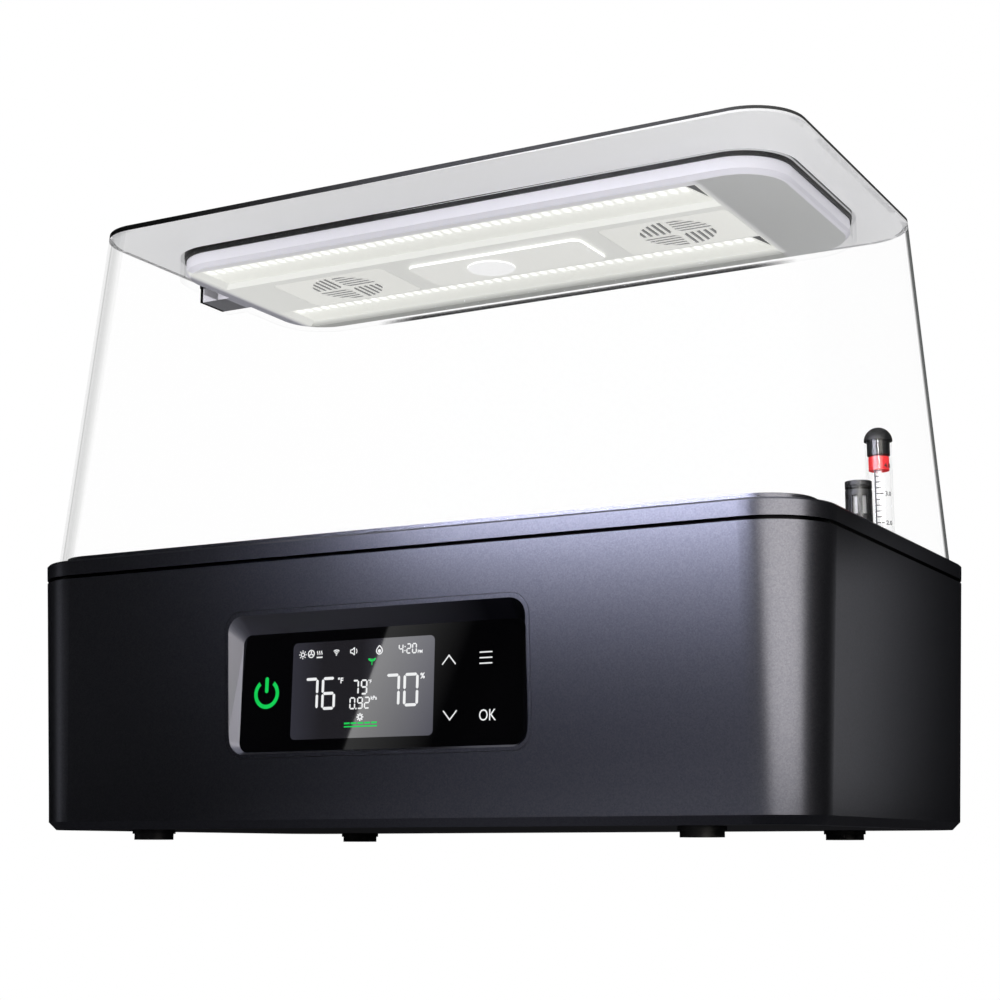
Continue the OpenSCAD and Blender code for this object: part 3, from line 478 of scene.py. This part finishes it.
# Painted glow: the enamel gives off light in its own tone.
skin = put("BsdfPrincipled", {
    "Base Color": peel_tone, "Roughness": 0.15, "IOR": 1.5, "Normal": peel_depth,
    "Emission Color": peel_tone, "Emission Strength": 0.55})
wear(enamel, skin, "badge")

# %% [markdown]
# ## Chips and float
# The float is white polyethylene. The light-emitting chips glow warm white under a yellow phosphor. The float's
# white rod and its red band get a faint painted glow, and the three share one loop.

# %% Chips and float
float_white, put, place = blank("white_polyethylene")
_, milk_tone = grained(put, place, 3, 3.0, "#dcdcdc", "#ebebea")
skin = put("BsdfPrincipled", {"Base Color": milk_tone, "Roughness": 0.4, "IOR": 1.51})
wear(float_white, skin, "float_bob", "probe_sensor")

# The strength is the chips' own light, and a faint painted glow for the rod and the red band.
for name, size, detail, dark, light, roughness, ior, strength, *wearers in (
        ("warm_white_phosphor", 0.5, 2.0, "#fff3d6", "#fffdf2", 0.5, 1.5, 6.0, "led_chips_front", "led_chips_back"),
        ("white_acetal_rod", 2, 2.0, "#f2f2f2", "#fcfcfc", 0.35, 1.48, 0.3, "float_rod"),
        ("signal_red_abs", 2, 3.0, "#e02328", "#f0393e", 0.3, 1.53, 0.25, "float_indicator")):
    glowing, put, place = blank(name)
    _, grain_tone = grained(put, place, size, detail, dark, light)
    skin = put("BsdfPrincipled", {
        "Base Color": grain_tone, "Roughness": roughness, "IOR": ior,
        "Emission Color": grain_tone, "Emission Strength": strength})
    wear(glowing, skin, *wearers)

# %% [markdown]
# ## New pieces
# The solids give every moulded part. What is left for this file is thin: the sheets over the lamps, and the
# marks that are lit or printed on the panel and the gauge. One helper turns a bmesh into an object, and a
# second lets it ride on a body.

# %% Piece helper
def thing_from(shape, name, material):
    mesh = bpy.data.meshes.new(name)
    shape.to_mesh(mesh)
    shape.free()
    mesh.materials.append(material)
    thing = bpy.data.objects.new(name, mesh)
    scene.collection.objects.link(thing)
    print(name, len(mesh.vertices), "points", [round(v / MM, 1) for v in thing.dimensions], "mm")
    return thing


def piece_from(shape, name, material, body):
    piece = thing_from(shape, name, material)
    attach(piece, body)


# %% [markdown]
# ## The opal sheets
# Each lamp trough is closed by a sheet of opal acrylic. It glows all over, and brighter in front of each chip,
# so the row of chips shows as soft dots 6 mm apart, drawn out across the sheet by its ribbed back. The dots
# could be lamps, but light through a sheet is noisy to render. So the sheet's own glow is drawn: a ping-pong of
# the length gives the distance to the nearest chip. Past the last chip the sheet has no glow and is painted a
# darker grey, as painted shade.

# %% Opal acrylic
FIRST_CHIP, HALF_PITCH = 0.1545, 0.003
ROWS_MIDDLE, ROW_OFFSET = -0.0005, 0.045

opal, put, place = blank("opal_acrylic_sheet")
spot = put("SeparateXYZ", {"Vector": place["Object"]})
from_first = put("Math", {0: spot.outputs["X"], 1: FIRST_CHIP}, operation="ADD")
off_chip = put("Math", {0: from_first, 1: HALF_PITCH}, operation="PINGPONG")
from_middle = put("Math", {0: spot.outputs["Y"], 1: ROWS_MIDDLE}, operation="SUBTRACT")
from_centre = put("Math", {0: from_middle}, operation="ABSOLUTE")
side_of = put("Math", {0: from_middle}, operation="SIGN")
off_row = put("Math", {0: from_centre, 1: ROW_OFFSET}, operation="SUBTRACT")
across_row = put("Math", {0: off_row, 1: 0.5}, operation="MULTIPLY")
flat_spot = put("CombineXYZ", {"X": off_chip, "Y": across_row})
away = put("VectorMath", {0: flat_spot}, operation="LENGTH")
dot = put("MapRange", {
    "Value": away.outputs["Value"], "From Min": 0.0030, "From Max": 0.0006, "To Min": 0.0, "To Max": 0.5},
    interpolation_type="SMOOTHSTEP")
backwards = put("Math", {0: off_row, 1: side_of}, operation="MULTIPLY")
halo = put("MapRange", {
    "Value": backwards, "From Min": 0.022, "From Max": 0.0, "To Min": 0.38, "To Max": 0.54},
    interpolation_type="SMOOTHSTEP")
last_lit = put("MapRange", {
    "Value": backwards, "From Min": -0.0075, "From Max": 0.0175, "To Min": 0.1288, "To Max": 0.1345})
past_last = put("Math", {0: spot.outputs["X"], 1: last_lit}, operation="SUBTRACT")
ended = put("MapRange", {"Value": past_last, "From Min": 0.0, "From Max": 0.001})
milk, milk_tone = grained(put, place, 1.6, 4.0, "#dfe0d6", "#f4f3ea")
grainy = put("MapRange", {"Value": milk, "From Min": 0.3, "From Max": 0.7, "To Min": 0.8, "To Max": 1.2})
halo_grain = put("Math", {0: halo, 1: grainy}, operation="MULTIPLY")
# Painted shade: past the last chip the sheet is drawn a darker grey.
sheet_and_end_shade = put("MixRGB", {"Fac": ended, 1: milk_tone, 2: tone("#8a8a8c")})
glow = put("Math", {0: halo_grain, 1: dot}, operation="ADD")
left_on = put("Math", {0: 1.0, 1: ended}, operation="SUBTRACT")
lit = put("Math", {0: glow, 1: left_on}, operation="MULTIPLY")
skin = put("BsdfPrincipled", {
    "Base Color": sheet_and_end_shade, "Roughness": 0.35, "IOR": 1.49,
    "Emission Color": tone("#f6f7f3"), "Emission Strength": lit})
wear(opal, skin)

# %% [markdown]
# ## Cutting the sheets
# Each sheet is a thin box with rounded corners. Its lower face is a little larger than its upper one, because the
# trough's sides slope.

# %% Opal sheets
SHEET_SIZE = (0.3044, 0.0290, 0.0004)

for name, y in (("opal_sheet_front", -38.5), ("opal_sheet_back", 51.5)):
    shape = bmesh.new()
    middle = Vector((-18, y, 321.8)) * MM
    where = Matrix.Translation(middle) @ Matrix.Diagonal((*SHEET_SIZE, 1))
    bmesh.ops.create_cube(shape, size=1, matrix=where)
    upright_edges = [e for e in shape.edges if abs(e.verts[0].co.z - e.verts[1].co.z) > 0.0001]
    bmesh.ops.bevel(shape, geom=upright_edges, offset=0.0012, affect="EDGES", segments=3, profile=0.5, material=-1)
    bmesh.ops.scale(shape, vec=(1.0035, 1.022, 1), space=Matrix.Translation((-middle.x, -middle.y, 0)),
                    verts=[v for v in shape.verts if v.co.z < middle.z])
    piece_from(shape, name, opal, "light")

# %% [markdown]
# ## Drawing on the glass
# The marks on the panel are flat figures with no thickness that anyone could feel. Each is drawn in the plane
# of the glass in millimetres, from bars and arcs, as sign makers do, and the whole drawing is then raised by a
# few hundredths of a millimetre and turned into place on the glass, which leans back by 2.1 degrees. A bar is a
# square that is stretched and has its corners cut, and an arc is a short line that is spun.

# %% Drawing helpers
GLASS = Matrix(((1, 0, 0, -0.001), (0, 0.03664, -0.99933, -0.125), (0, 0.99933, 0.03664, 0.0705), (0, 0, 0, 1)))


def spoke(degrees):
    return Vector((math.cos(math.radians(degrees)), math.sin(math.radians(degrees))))


def points_in(made):
    return [v for v in made["geom"] if isinstance(v, bmesh.types.BMVert)]


def bar(shape, start, end, width, tip=0.0):
    start, end = Vector(start), Vector(end)
    along = end - start
    turn = Matrix.Rotation(math.atan2(along.y, along.x), 4, "Z")
    where = Matrix.Translation(((start + end) / 2).to_3d()) @ turn @ Matrix.Diagonal((along.length, width, 1, 1))
    made = bmesh.ops.create_grid(shape, x_segments=1, y_segments=1, size=0.5, matrix=where)
    if tip:
        bmesh.ops.bevel(shape, geom=made["verts"], offset=tip, affect="VERTICES", segments=1, profile=0.5, material=-1)


def arc(shape, centre, radius, width, start, sweep):
    at = spoke(start).to_3d()
    ends = [shape.verts.new(Vector(centre).to_3d() + at * (radius + side * width / 2)) for side in (-1, 1)]
    line = shape.edges.new(ends)
    bmesh.ops.spin(shape, geom=ends + [line], cent=Vector(centre).to_3d(), axis=(0, 0, 1),
                   angle=math.radians(sweep), steps=max(6, int(sweep / 12)), use_merge=sweep == 360)


def disc(shape, centre, size, turn=0):
    where = (Matrix.Translation(Vector(centre).to_3d()) @ Matrix.Rotation(math.radians(turn), 4, "Z")
             @ Matrix.Diagonal((size[0] / 2, size[1] / 2, 1, 1)))
    bmesh.ops.create_circle(shape, cap_ends=True, segments=20, radius=1, matrix=where)


def words(shape, letters, centre, height, fatter=0.0, narrower=1.0):
    curve = bpy.data.curves.new(letters, "FONT")
    curve.body = letters
    curve.resolution_u = 3
    curve.offset = fatter
    sheet = bpy.data.objects.new(letters, curve)
    mesh = bpy.data.meshes.new_from_object(sheet)
    xs, ys = [v.co.x for v in mesh.vertices], [v.co.y for v in mesh.vertices]
    size = height / (max(ys) - min(ys))
    mesh.transform(Matrix.Translation(Vector(centre).to_3d()) @ Matrix.Diagonal((size * narrower, size, size, 1))
                   @ Matrix.Translation((-(min(xs) + max(xs)) / 2, -(min(ys) + max(ys)) / 2, 0)))
    shape.from_mesh(mesh)
    bpy.data.objects.remove(sheet)
    bpy.data.curves.remove(curve)
    bpy.data.meshes.remove(mesh)


def raise_on_glass(shape, name, material, low, high):
    bmesh.ops.remove_doubles(shape, verts=shape.verts[:], dist=0.004)
    bmesh.ops.translate(shape, vec=(0, 0, low), verts=shape.verts[:])
    upper = bmesh.ops.extrude_face_region(shape, geom=shape.faces[:], use_keep_orig=True)
    bmesh.ops.translate(shape, vec=(0, 0, high - low), verts=points_in(upper))
    bmesh.ops.recalc_face_normals(shape, faces=shape.faces[:])
    bmesh.ops.scale(shape, vec=(MM, MM, MM), verts=shape.verts[:])
    bmesh.ops.transform(shape, matrix=GLASS, verts=shape.verts[:])
    piece_from(shape, name, material, "base")


print("glass plane", [round(v / MM, 2) for v in GLASS.translation], "mm")

# %% [markdown]
# ## The display's window
# The display is a liquid crystal cell glued behind the glass. Where it lies, the black print is left open, so
# the window is a dark grey that mirrors more than the print does, because its own polariser mirrors too. Its
# backlight leaks a little round the border, and its glow is brighter towards the right.

# %% Display window
cell, put, place = blank("liquid_crystal_cell")
centred = put("Mapping", {"Vector": place["Object"], "Location": (0.25, 0, -1.5), "Scale": (25.0, 0, 21.28)})
reach = put("SeparateXYZ", {"Vector": centred})
sideways = put("Math", {0: reach.outputs["X"]}, operation="ABSOLUTE")
upways = put("Math", {0: reach.outputs["Z"]}, operation="ABSOLUTE")
border = put("Math", {0: sideways, 1: upways, 2: 0.3}, operation="SMOOTH_MAX")
leak = put("MapRange", {"Value": border, "From Min": 0.55, "From Max": 1.05})
weave = put("TexNoise", {"Vector": place["Object"], "Scale": per_grain(0.5), "Detail": 2.0})
leak_tone = put("MixRGB", {"Fac": leak, 1: tone("#1e1d21"), 2: tone("#34343d")})
rightwards = put("MapRange", {"Value": reach.outputs["X"], "From Min": 0.0, "From Max": 1.0})
side_tone = put("MixRGB", {"Fac": rightwards, 1: leak_tone, 2: tone("#50505a")})
woven = put("MapRange", {"Value": weave, "To Min": 0.8, "To Max": 1.0})
skin = put("BsdfPrincipled", {
    "Base Color": tone("#0a0a0c"), "Roughness": 0.02, "IOR": 3.2,
    "Emission Color": side_tone, "Emission Strength": woven})
wear(cell, skin, "display_module")

shape = bmesh.new()
bmesh.ops.create_grid(shape, x_segments=1, y_segments=1, size=0.5,
                      matrix=Matrix.Translation((-9, 0, 0)) @ Matrix.Diagonal((80, 47, 1, 1)))
bmesh.ops.bevel(shape, geom=shape.verts[:], offset=2.5, affect="VERTICES", segments=6, profile=0.5, material=-1)
raise_on_glass(shape, "display_window", cell, -0.05, 0.02)

# %% [markdown]
# ## The lit figures
# The readings are seven-segment figures: each bar is a small hexagon, and a figure is named by the bars that
# are lit. The small signs over them say light, fan, heat, signal, sound and water. They glow because the
# backlight shines through clear gaps in the cell, so their material is mostly emission, with a faint
# unevenness.

# %% Lit figures
LIT = {"0": "abcdef", "2": "abged", "4": "fgbc", "6": "afgedc", "7": "abc", "9": "abfgcd"}


def figure(shape, value, x, y, width, height, stroke):
    left, right = x + stroke / 2, x + width - stroke / 2
    low, middle, top = y + stroke / 2, y + height / 2, y + height - stroke / 2
    ends = {
        "a": ((left, top), (right, top)), "b": ((right, middle), (right, top)),
        "c": ((right, low), (right, middle)), "d": ((left, low), (right, low)),
        "e": ((left, low), (left, middle)), "f": ((left, middle), (left, top)),
        "g": ((left, middle), (right, middle))}
    for name in LIT[value]:
        start, end = Vector(ends[name][0]), Vector(ends[name][1])
        trim = (end - start).normalized() * stroke * 0.22
        bar(shape, start + trim, end - trim, stroke, stroke * 0.4)


def backlit(name, unlit, dark, light, strength):
    material, put, place = blank(name)
    _, lit_tone = grained(put, place, 5, 1.0, dark, light)
    skin = put("BsdfPrincipled", {
        "Base Color": tone(unlit), "Roughness": 0.1, "IOR": 1.5,
        "Emission Color": lit_tone, "Emission Strength": strength})
    wear(material, skin)
    return material


lit_white = backlit("white_backlit_segment", "#101012", "#eef0f2", "#ffffff", 0.92)
shape = bmesh.new()
figure(shape, "7", -41.7, -9.6, 8.1, 15.8, 1.4)
figure(shape, "6", -31.7, -9.6, 7.9, 15.8, 1.4)
words(shape, "\u00b0F", (-21.0, 4.3), 2.9, 0.03)
figure(shape, "7", -14.1, -3.1, 3.7, 7.3, 0.85)
figure(shape, "9", -9.4, -3.1, 3.8, 7.3, 0.85)
words(shape, "\u00b0F", (-4.3, 3.1), 1.8, 0.03)
for value, x in (("0", -15.5), ("9", -11.2), ("2", -7.3)):
    figure(shape, value, x, -9.9, 3.3, 5.8, 0.7)
disc(shape, (-11.7, -9.6), (0.8, 0.8))
words(shape, "kPa", (-1.8, -4.8), 1.9, 0.03)
figure(shape, "7", 4.3, -9.6, 8.2, 15.8, 1.4)
figure(shape, "0", 14.4, -9.6, 8.3, 15.8, 1.4)
words(shape, "%", (24.8, 4.6), 2.8, 0.03)
for value, x in (("4", 11.2), ("2", 15.5), ("0", 18.6)):
    figure(shape, value, x, 15.3, 2.7, 5.0, 0.65)
for y in (16.9, 18.8):
    disc(shape, (14.75, y), (0.7, 0.7))
words(shape, "PM", (23.1, 16.1), 1.6, 0.03)

# %% Small signs of the display
sun, fan, heat, signal, sound, drop, gear = [Vector(v) for v in (
    (-43.4, 17.7), (-38.5, 17.9), (-33.6, 17.7), (-23.9, 18.2), (-13.9, 18.0), (0.5, 17.9), (-9.3, -13.7))]
arc(shape, sun, 0.95, 0.5, 0, 360)
arc(shape, gear, 0.95, 0.6, 0, 360)
for turn in range(0, 360, 45):
    ray = spoke(turn)
    bar(shape, sun + ray * 1.5, sun + ray * 2.15, 0.5)
    bar(shape, gear + ray * 1.1, gear + ray * 1.9, 0.7)
arc(shape, fan, 1.75, 0.5, 0, 360)
disc(shape, fan, (0.7, 0.7))
for turn in (90, 210, 330):
    disc(shape, fan + spoke(turn) * 0.9, (1.1, 0.75), turn + 25)
bar(shape, heat + Vector((-1.7, -1.7)), heat + Vector((1.7, -1.7)), 0.7)
for x in (-1.2, 0, 1.2):
    arc(shape, heat + Vector((x + 0.35, 0.95)), 0.55, 0.48, 125, 110)
    arc(shape, heat + Vector((x - 0.35, 0.05)), 0.55, 0.48, -55, 110)
for radius in (0.8, 1.6, 2.4):
    arc(shape, signal + Vector((0, -1.5)), radius, 0.5, 48, 84)
disc(shape, signal + Vector((0, -1.5)), (0.7, 0.7))
outline = [sound + Vector(v) for v in (
    (-1.9, 0.75), (-0.9, 0.75), (0.3, 1.8), (0.3, -1.8), (-0.9, -0.75), (-1.9, -0.75))]
for start, end in zip(outline, outline[1:] + outline[:1]):
    bar(shape, start, end, 0.5)
arc(shape, sound + Vector((0.2, 0)), 1.5, 0.4, -45, 90)
arc(shape, drop + Vector((0, -0.3)), 1.65, 0.55, 140, 260)
for side in (-1, 1):
    bar(shape, drop + Vector((side * 1.3, 0.75)), drop + Vector((0, 2.2)), 0.55)
disc(shape, drop + Vector((0, -0.5)), (1.8, 1.8))
raise_on_glass(shape, "display_figures", lit_white, 0.01, 0.05)

# %% [markdown]
# ## The green signs
# A sprout and two lines under the readings are lit green. The power key at the left is a ring with a gap and a
# stroke, the usual sign for it. The four touch keys at the right are white: up, down, a menu and a word for
# yes.

# %% Green signs
lit_green = backlit("green_backlit_segment", "#05140a", "#0cc44c", "#18de60", 0.95)
shape = bmesh.new()
bar(shape, (-3.5, 10.9), (-3.5, 14.0), 0.45)
for side in (-1, 1):
    disc(shape, (-3.5 + side * 1.15, 13.4), (2.3, 1.1), side * 35)
for i in range(5):
    bar(shape, (-18.2 + i * 3.82, -16.5), (-15.0 + i * 3.82, -16.5), 0.85)
bar(shape, (-18.2, -18.1), (0.4, -18.1), 0.65)
raise_on_glass(shape, "display_green_signs", lit_green, 0.01, 0.05)

shape = bmesh.new()
arc(shape, (-64, -0.5), 6.4, 2.0, 128, 284)
bar(shape, (-64, -0.1), (-64, 7.6), 2.0, 0.6)
raise_on_glass(shape, "power_key_sign", lit_green, -0.02, 0.03)

# %% Touch keys
shape = bmesh.new()
for x, y, side in ((38.9, 11.4, 1), (40.0, -14.6, -1)):
    for end in (-1, 1):
        bar(shape, (x + end * 3.6, y - side * 2.2), (x - end * 0.2, y + side * 2.3), 0.6)
for row in (-1, 0, 1):
    bar(shape, (55.2, 11.5 + row * 2.6), (62.0, 11.5 + row * 2.6), 0.6, 0.15)
words(shape, "OK", (60.0, -15.0), 5.3, 0.0, 0.82)
raise_on_glass(shape, "touch_key_signs", lit_white, -0.02, 0.03)

# %% [markdown]
# ## The gauge's scale
# The scale is screen printed in black on the tube: one upright line, short ticks every fifth of a litre and
# long ones at each whole litre. A tick is a short upright line that is spun round the tube's axis. The figures
# are written flat, cut into narrow strips and then rolled onto the tube, because whole letters would stay flat.

# %% Scale on the tube
print_ink, put, place = blank("black_screen_print")
_, ink_tone = grained(put, place, 0.4, 2.0, "#1a1a1c", "#323235")
skin = put("BsdfPrincipled", {"Base Color": ink_tone, "Roughness": 0.5, "IOR": 1.5})
wear(print_ink, skin)

AXIS, TUBE_RADIUS = Vector((193, 52, 0)), 6.81
FIRST_TICK, TICK_PITCH = 147.6, 3.04


def stroke_round(shape, z, height, start, end):
    at = AXIS + spoke(start).to_3d() * TUBE_RADIUS
    ends = [shape.verts.new(at + Vector((0, 0, z + side * height / 2))) for side in (-1, 1)]
    bmesh.ops.spin(shape, geom=ends + [shape.edges.new(ends)], cent=AXIS, axis=(0, 0, 1),
                   angle=math.radians(end - start), steps=8)


shape = bmesh.new()
for figures, z in (("2.0", 159.8), ("3.0", 175.0), ("4.0", 189.8)):
    sheet = bmesh.new()
    words(sheet, figures, (0, 0), 2.3, 0.02)
    for cut in range(-6, 7):
        everything = sheet.verts[:] + sheet.edges[:] + sheet.faces[:]
        bmesh.ops.bisect_plane(sheet, geom=everything, plane_co=(cut * 0.5, 0, 0), plane_no=(1, 0, 0))
    for v in sheet.verts:
        turn = math.radians(-34) + v.co.x / TUBE_RADIUS
        v.co = AXIS + Vector((math.cos(turn) * TUBE_RADIUS, math.sin(turn) * TUBE_RADIUS, z + v.co.y))
    rolled = bpy.data.meshes.new("rolled")
    sheet.to_mesh(rolled)
    sheet.free()
    shape.from_mesh(rolled)
    bpy.data.meshes.remove(rolled)
for step in range(14):
    end = -58 if step % 5 == 4 else -68
    stroke_round(shape, FIRST_TICK + step * TICK_PITCH, height=0.55, start=-90, end=end)
stroke_round(shape, 166.8, height=41, start=-95, end=-88)
upper = bmesh.ops.extrude_face_region(shape, geom=shape.faces[:], use_keep_orig=True)
bmesh.ops.scale(shape, vec=(1.006, 1.006, 1), space=Matrix.Translation(-AXIS), verts=points_in(upper))
bmesh.ops.recalc_face_normals(shape, faces=shape.faces[:])
bmesh.ops.scale(shape, vec=(MM, MM, MM), verts=shape.verts[:])
piece_from(shape, "gauge_scale", print_ink, "base")

# %% [markdown]
# ## The studio
# The floor is a pale disc that keeps the object's shadow and fades into the white room, and from below it lets
# the low camera see past it. The room is white to the camera, to mirrors and through glass, and a little dimmer
# where it only lights the object. The flags and cards that follow are seen by mirrors only, so one helper hides a
# piece of the stage from all other rays.

# %% Room and floor
world = bpy.data.worlds.new("white_room")
scene.world = world
world.use_nodes = True
world.node_tree.nodes.clear()
put = partial(add_node, world.node_tree)
rays = put("LightPath")
seen = put("Math", {0: rays.outputs["Is Camera Ray"], 1: rays.outputs["Is Glossy Ray"]}, operation="MAXIMUM")
shown = put("Math", {0: seen, 1: rays.outputs["Is Transmission Ray"]}, operation="MAXIMUM")
level = put("MapRange", {"Value": shown, "To Min": 0.9, "To Max": 1.0})
sky = put("Background", {"Color": (1, 1, 1, 1), "Strength": level})
put("OutputWorld", {"Surface": sky})


def stage_piece(shape, name, material, mirrors_only=True):
    thing = thing_from(shape, name, material)
    if mirrors_only:
        for ray in ("camera", "diffuse", "transmission", "volume_scatter", "shadow"):
            setattr(thing, "visible_" + ray, False)
    return thing


floor_paint, put, place = blank("pale_floor")
reach = put("VectorMath", {0: place["Object"]}, operation="LENGTH")
fade = put("MapRange", {"Value": reach.outputs["Value"], "From Min": 0.35, "From Max": 1.1})
side = put("NewGeometry")
gone = put("Math", {0: fade, 1: side.outputs["Backfacing"]}, operation="MAXIMUM")
pale = put("BsdfDiffuse", {"Color": tone("#f4f4f4")})
wear(floor_paint, put("MixShader", {"Fac": gone, 1: pale, 2: put("BsdfTransparent")}))
shape = bmesh.new()
bmesh.ops.create_circle(shape, cap_ends=True, segments=96, radius=1.2)
floor = stage_piece(shape, "floor", floor_paint, mirrors_only=False)
floor.visible_glossy = False

# %% [markdown]
# ## Dark flags
# A glossy dark product is lit by what it mirrors. A dark tub of flags round the table gives the deep tones. Its
# floor has one lighter patch at the left, for the faces that lean towards it.

# %% Flags
TUB_RADIUS, TUB_HEIGHT, TUB_FLOOR = 2.4, 5.6, -0.8

flag_cloth, put, place = blank("black_flag_cloth")
level = put("SeparateXYZ", {"Vector": place["Object"]})
dim = put("MapRange", {
    "Value": level.outputs["Z"], "From Min": TUB_FLOOR, "From Max": -0.3, "To Min": 0.03, "To Max": 0.005})
off_patch = put("Math", {0: level.outputs["X"], 1: 0.35}, operation="ADD")
patch_away = put("Math", {0: off_patch}, operation="ABSOLUTE")
patch = put("MapRange", {
    "Value": patch_away, "From Min": 0.28, "From Max": 0.0, "To Min": 0.0, "To Max": 0.16},
    interpolation_type="SMOOTHSTEP")
on_table = put("Math", {0: level.outputs["Z"], 1: -0.79}, operation="LESS_THAN")
table_patch = put("Math", {0: patch, 1: on_table}, operation="MULTIPLY")
bright = put("Math", {0: dim, 1: table_patch}, operation="ADD")
cloth = put("Emission", {"Color": (0.9, 0.9, 1, 1), "Strength": bright})
wear(flag_cloth, cloth)
shape = bmesh.new()
bmesh.ops.create_circle(shape, cap_ends=True, segments=96, radius=TUB_RADIUS)
wall = bmesh.ops.extrude_edge_only(shape, edges=shape.edges[:])
bmesh.ops.translate(shape, vec=(0, 0, TUB_HEIGHT), verts=points_in(wall))
bmesh.ops.translate(shape, vec=(0, 0, TUB_FLOOR), verts=shape.verts[:])
stage_piece(shape, "dark_flags", flag_cloth)

# %% [markdown]
# ## The glare card
# The panel's glass mirrors a slanted white card that stands far off at the front left. Its near edge is sharp
# and its other side fades to black, which gives the diagonal sheen over the display. Only mirrors see it.

# %% Glare card
card_white, put, place = blank("fading_white_card")
across = put("VectorMath", {0: place["Object"], 1: (0.9345, -0.1, -0.3415)}, operation="DOT_PRODUCT")
dim = put("MapRange", {
    "Value": across.outputs["Value"], "From Min": -0.858, "From Max": -0.738, "To Min": 0.8, "To Max": 0.0})
cloth = put("Emission", {"Color": (1, 1, 1, 1), "Strength": dim})
wear(card_white, cloth)
shape = bmesh.new()
corners = [shape.verts.new(v) for v in
           ((-1.018, -1.616, 0.193), (-0.847, -1.66, 0.193), (-0.737, -1.665, 0.491), (-0.910, -1.621, 0.491))]
shape.faces.new(corners)
stage_piece(shape, "glare_card", card_white)

# %% [markdown]
# ## The table's sheen
# The base's front leans in towards the table, so its foot mirrors the table just in front of it. A pale card on
# the table, which only mirrors see, gives that faint rise in tone along the foot, and it fades to the left and
# the front.

# %% Table card
table_white, put, place = blank("fading_table_card")
level = put("SeparateXYZ", {"Vector": place["Object"]})
near = put("MapRange", {"Value": level.outputs["Y"], "From Min": -0.50, "From Max": -0.26})
rightwards = put("MapRange", {"Value": level.outputs["X"], "From Min": -0.16, "From Max": 0.10})
both = put("Math", {0: near, 1: rightwards}, operation="MULTIPLY")
lit = put("Math", {0: both, 1: 0.6}, operation="MULTIPLY")
cloth = put("Emission", {"Color": (0.95, 0.95, 1, 1), "Strength": lit})
wear(table_white, cloth)
shape = bmesh.new()
bmesh.ops.create_grid(shape, x_segments=1, y_segments=1, size=0.5,
                      matrix=Matrix.Translation((0.11, -0.39, -0.002)) @ Matrix.Diagonal((0.78, 0.46, 1, 1)))
stage_piece(shape, "table_card", table_white)

# %% [markdown]
# ## Softboxes
# The softboxes draw the highlights: one at the front left for the front face, with a grid that narrows its
# beam, a wide one beside the camera for the rounded corner and the bezel, a weak one behind for the end face,
# and a big one overhead for the rim. A small strip beside the gauge draws the upright glint on its tube, and a
# faint one at the left a soft line down the base's left corner. A fill from the front lights what is dull and
# is in no mirror.

# %% Softboxes
def softbox(name, where, target, size, watts, colour=(1, 1, 1), spread=180):
    data = bpy.data.lights.new(name, "AREA")
    data.shape = "RECTANGLE"
    data.size, data.size_y = size
    data.energy = watts
    data.color = colour
    data.spread = math.radians(spread)
    lamp = bpy.data.objects.new(name, data)
    lamp.location = where
    lamp.rotation_mode = "QUATERNION"
    lamp.rotation_quaternion = (Vector(target) - Vector(where)).to_track_quat("-Z", "Y")
    lamp.visible_camera = False
    lamp.visible_transmission = False
    scene.collection.objects.link(lamp)
    return lamp


front = softbox("front_softbox", (0.031, -0.350, 0.282), (0.092, -0.134, 0.200), (0.277, 0.234), 0.90,
                (0.93, 0.94, 1.1), spread=100)
corner = softbox("corner_softbox", (0.376, -0.281, 0.173), (0.210, -0.125, 0.089), (0.330, 0.362), 1.30,
                 (1.05, 1.0, 0.91))
end = softbox("end_softbox", (0.327, 0.180, 0.080), (0.220, -0.040, 0.080), (0.030, 0.152), 0.016)
strip = softbox("gauge_strip", (0.228, -0.063, 0.203), (0.193, 0.052, 0.180), (0.013, 0.070), 0.16)
left = softbox("left_strip", (-0.392, -0.215, 0.070), (-0.210, -0.125, 0.070), (0.055, 0.190), 0.0138)
for lamp in (front, corner, end, strip, left):
    lamp.visible_diffuse = False
softbox("overhead_softbox", (0.0, -0.3, 1.9), (0, 0, 0.1), (1.2, 1.2), 2.5)
fill = softbox("front_fill", (0.3, -2.2, 0.2), (0, 0, 0.2), (2.0, 1.2), 20.0)
fill.visible_glossy = False
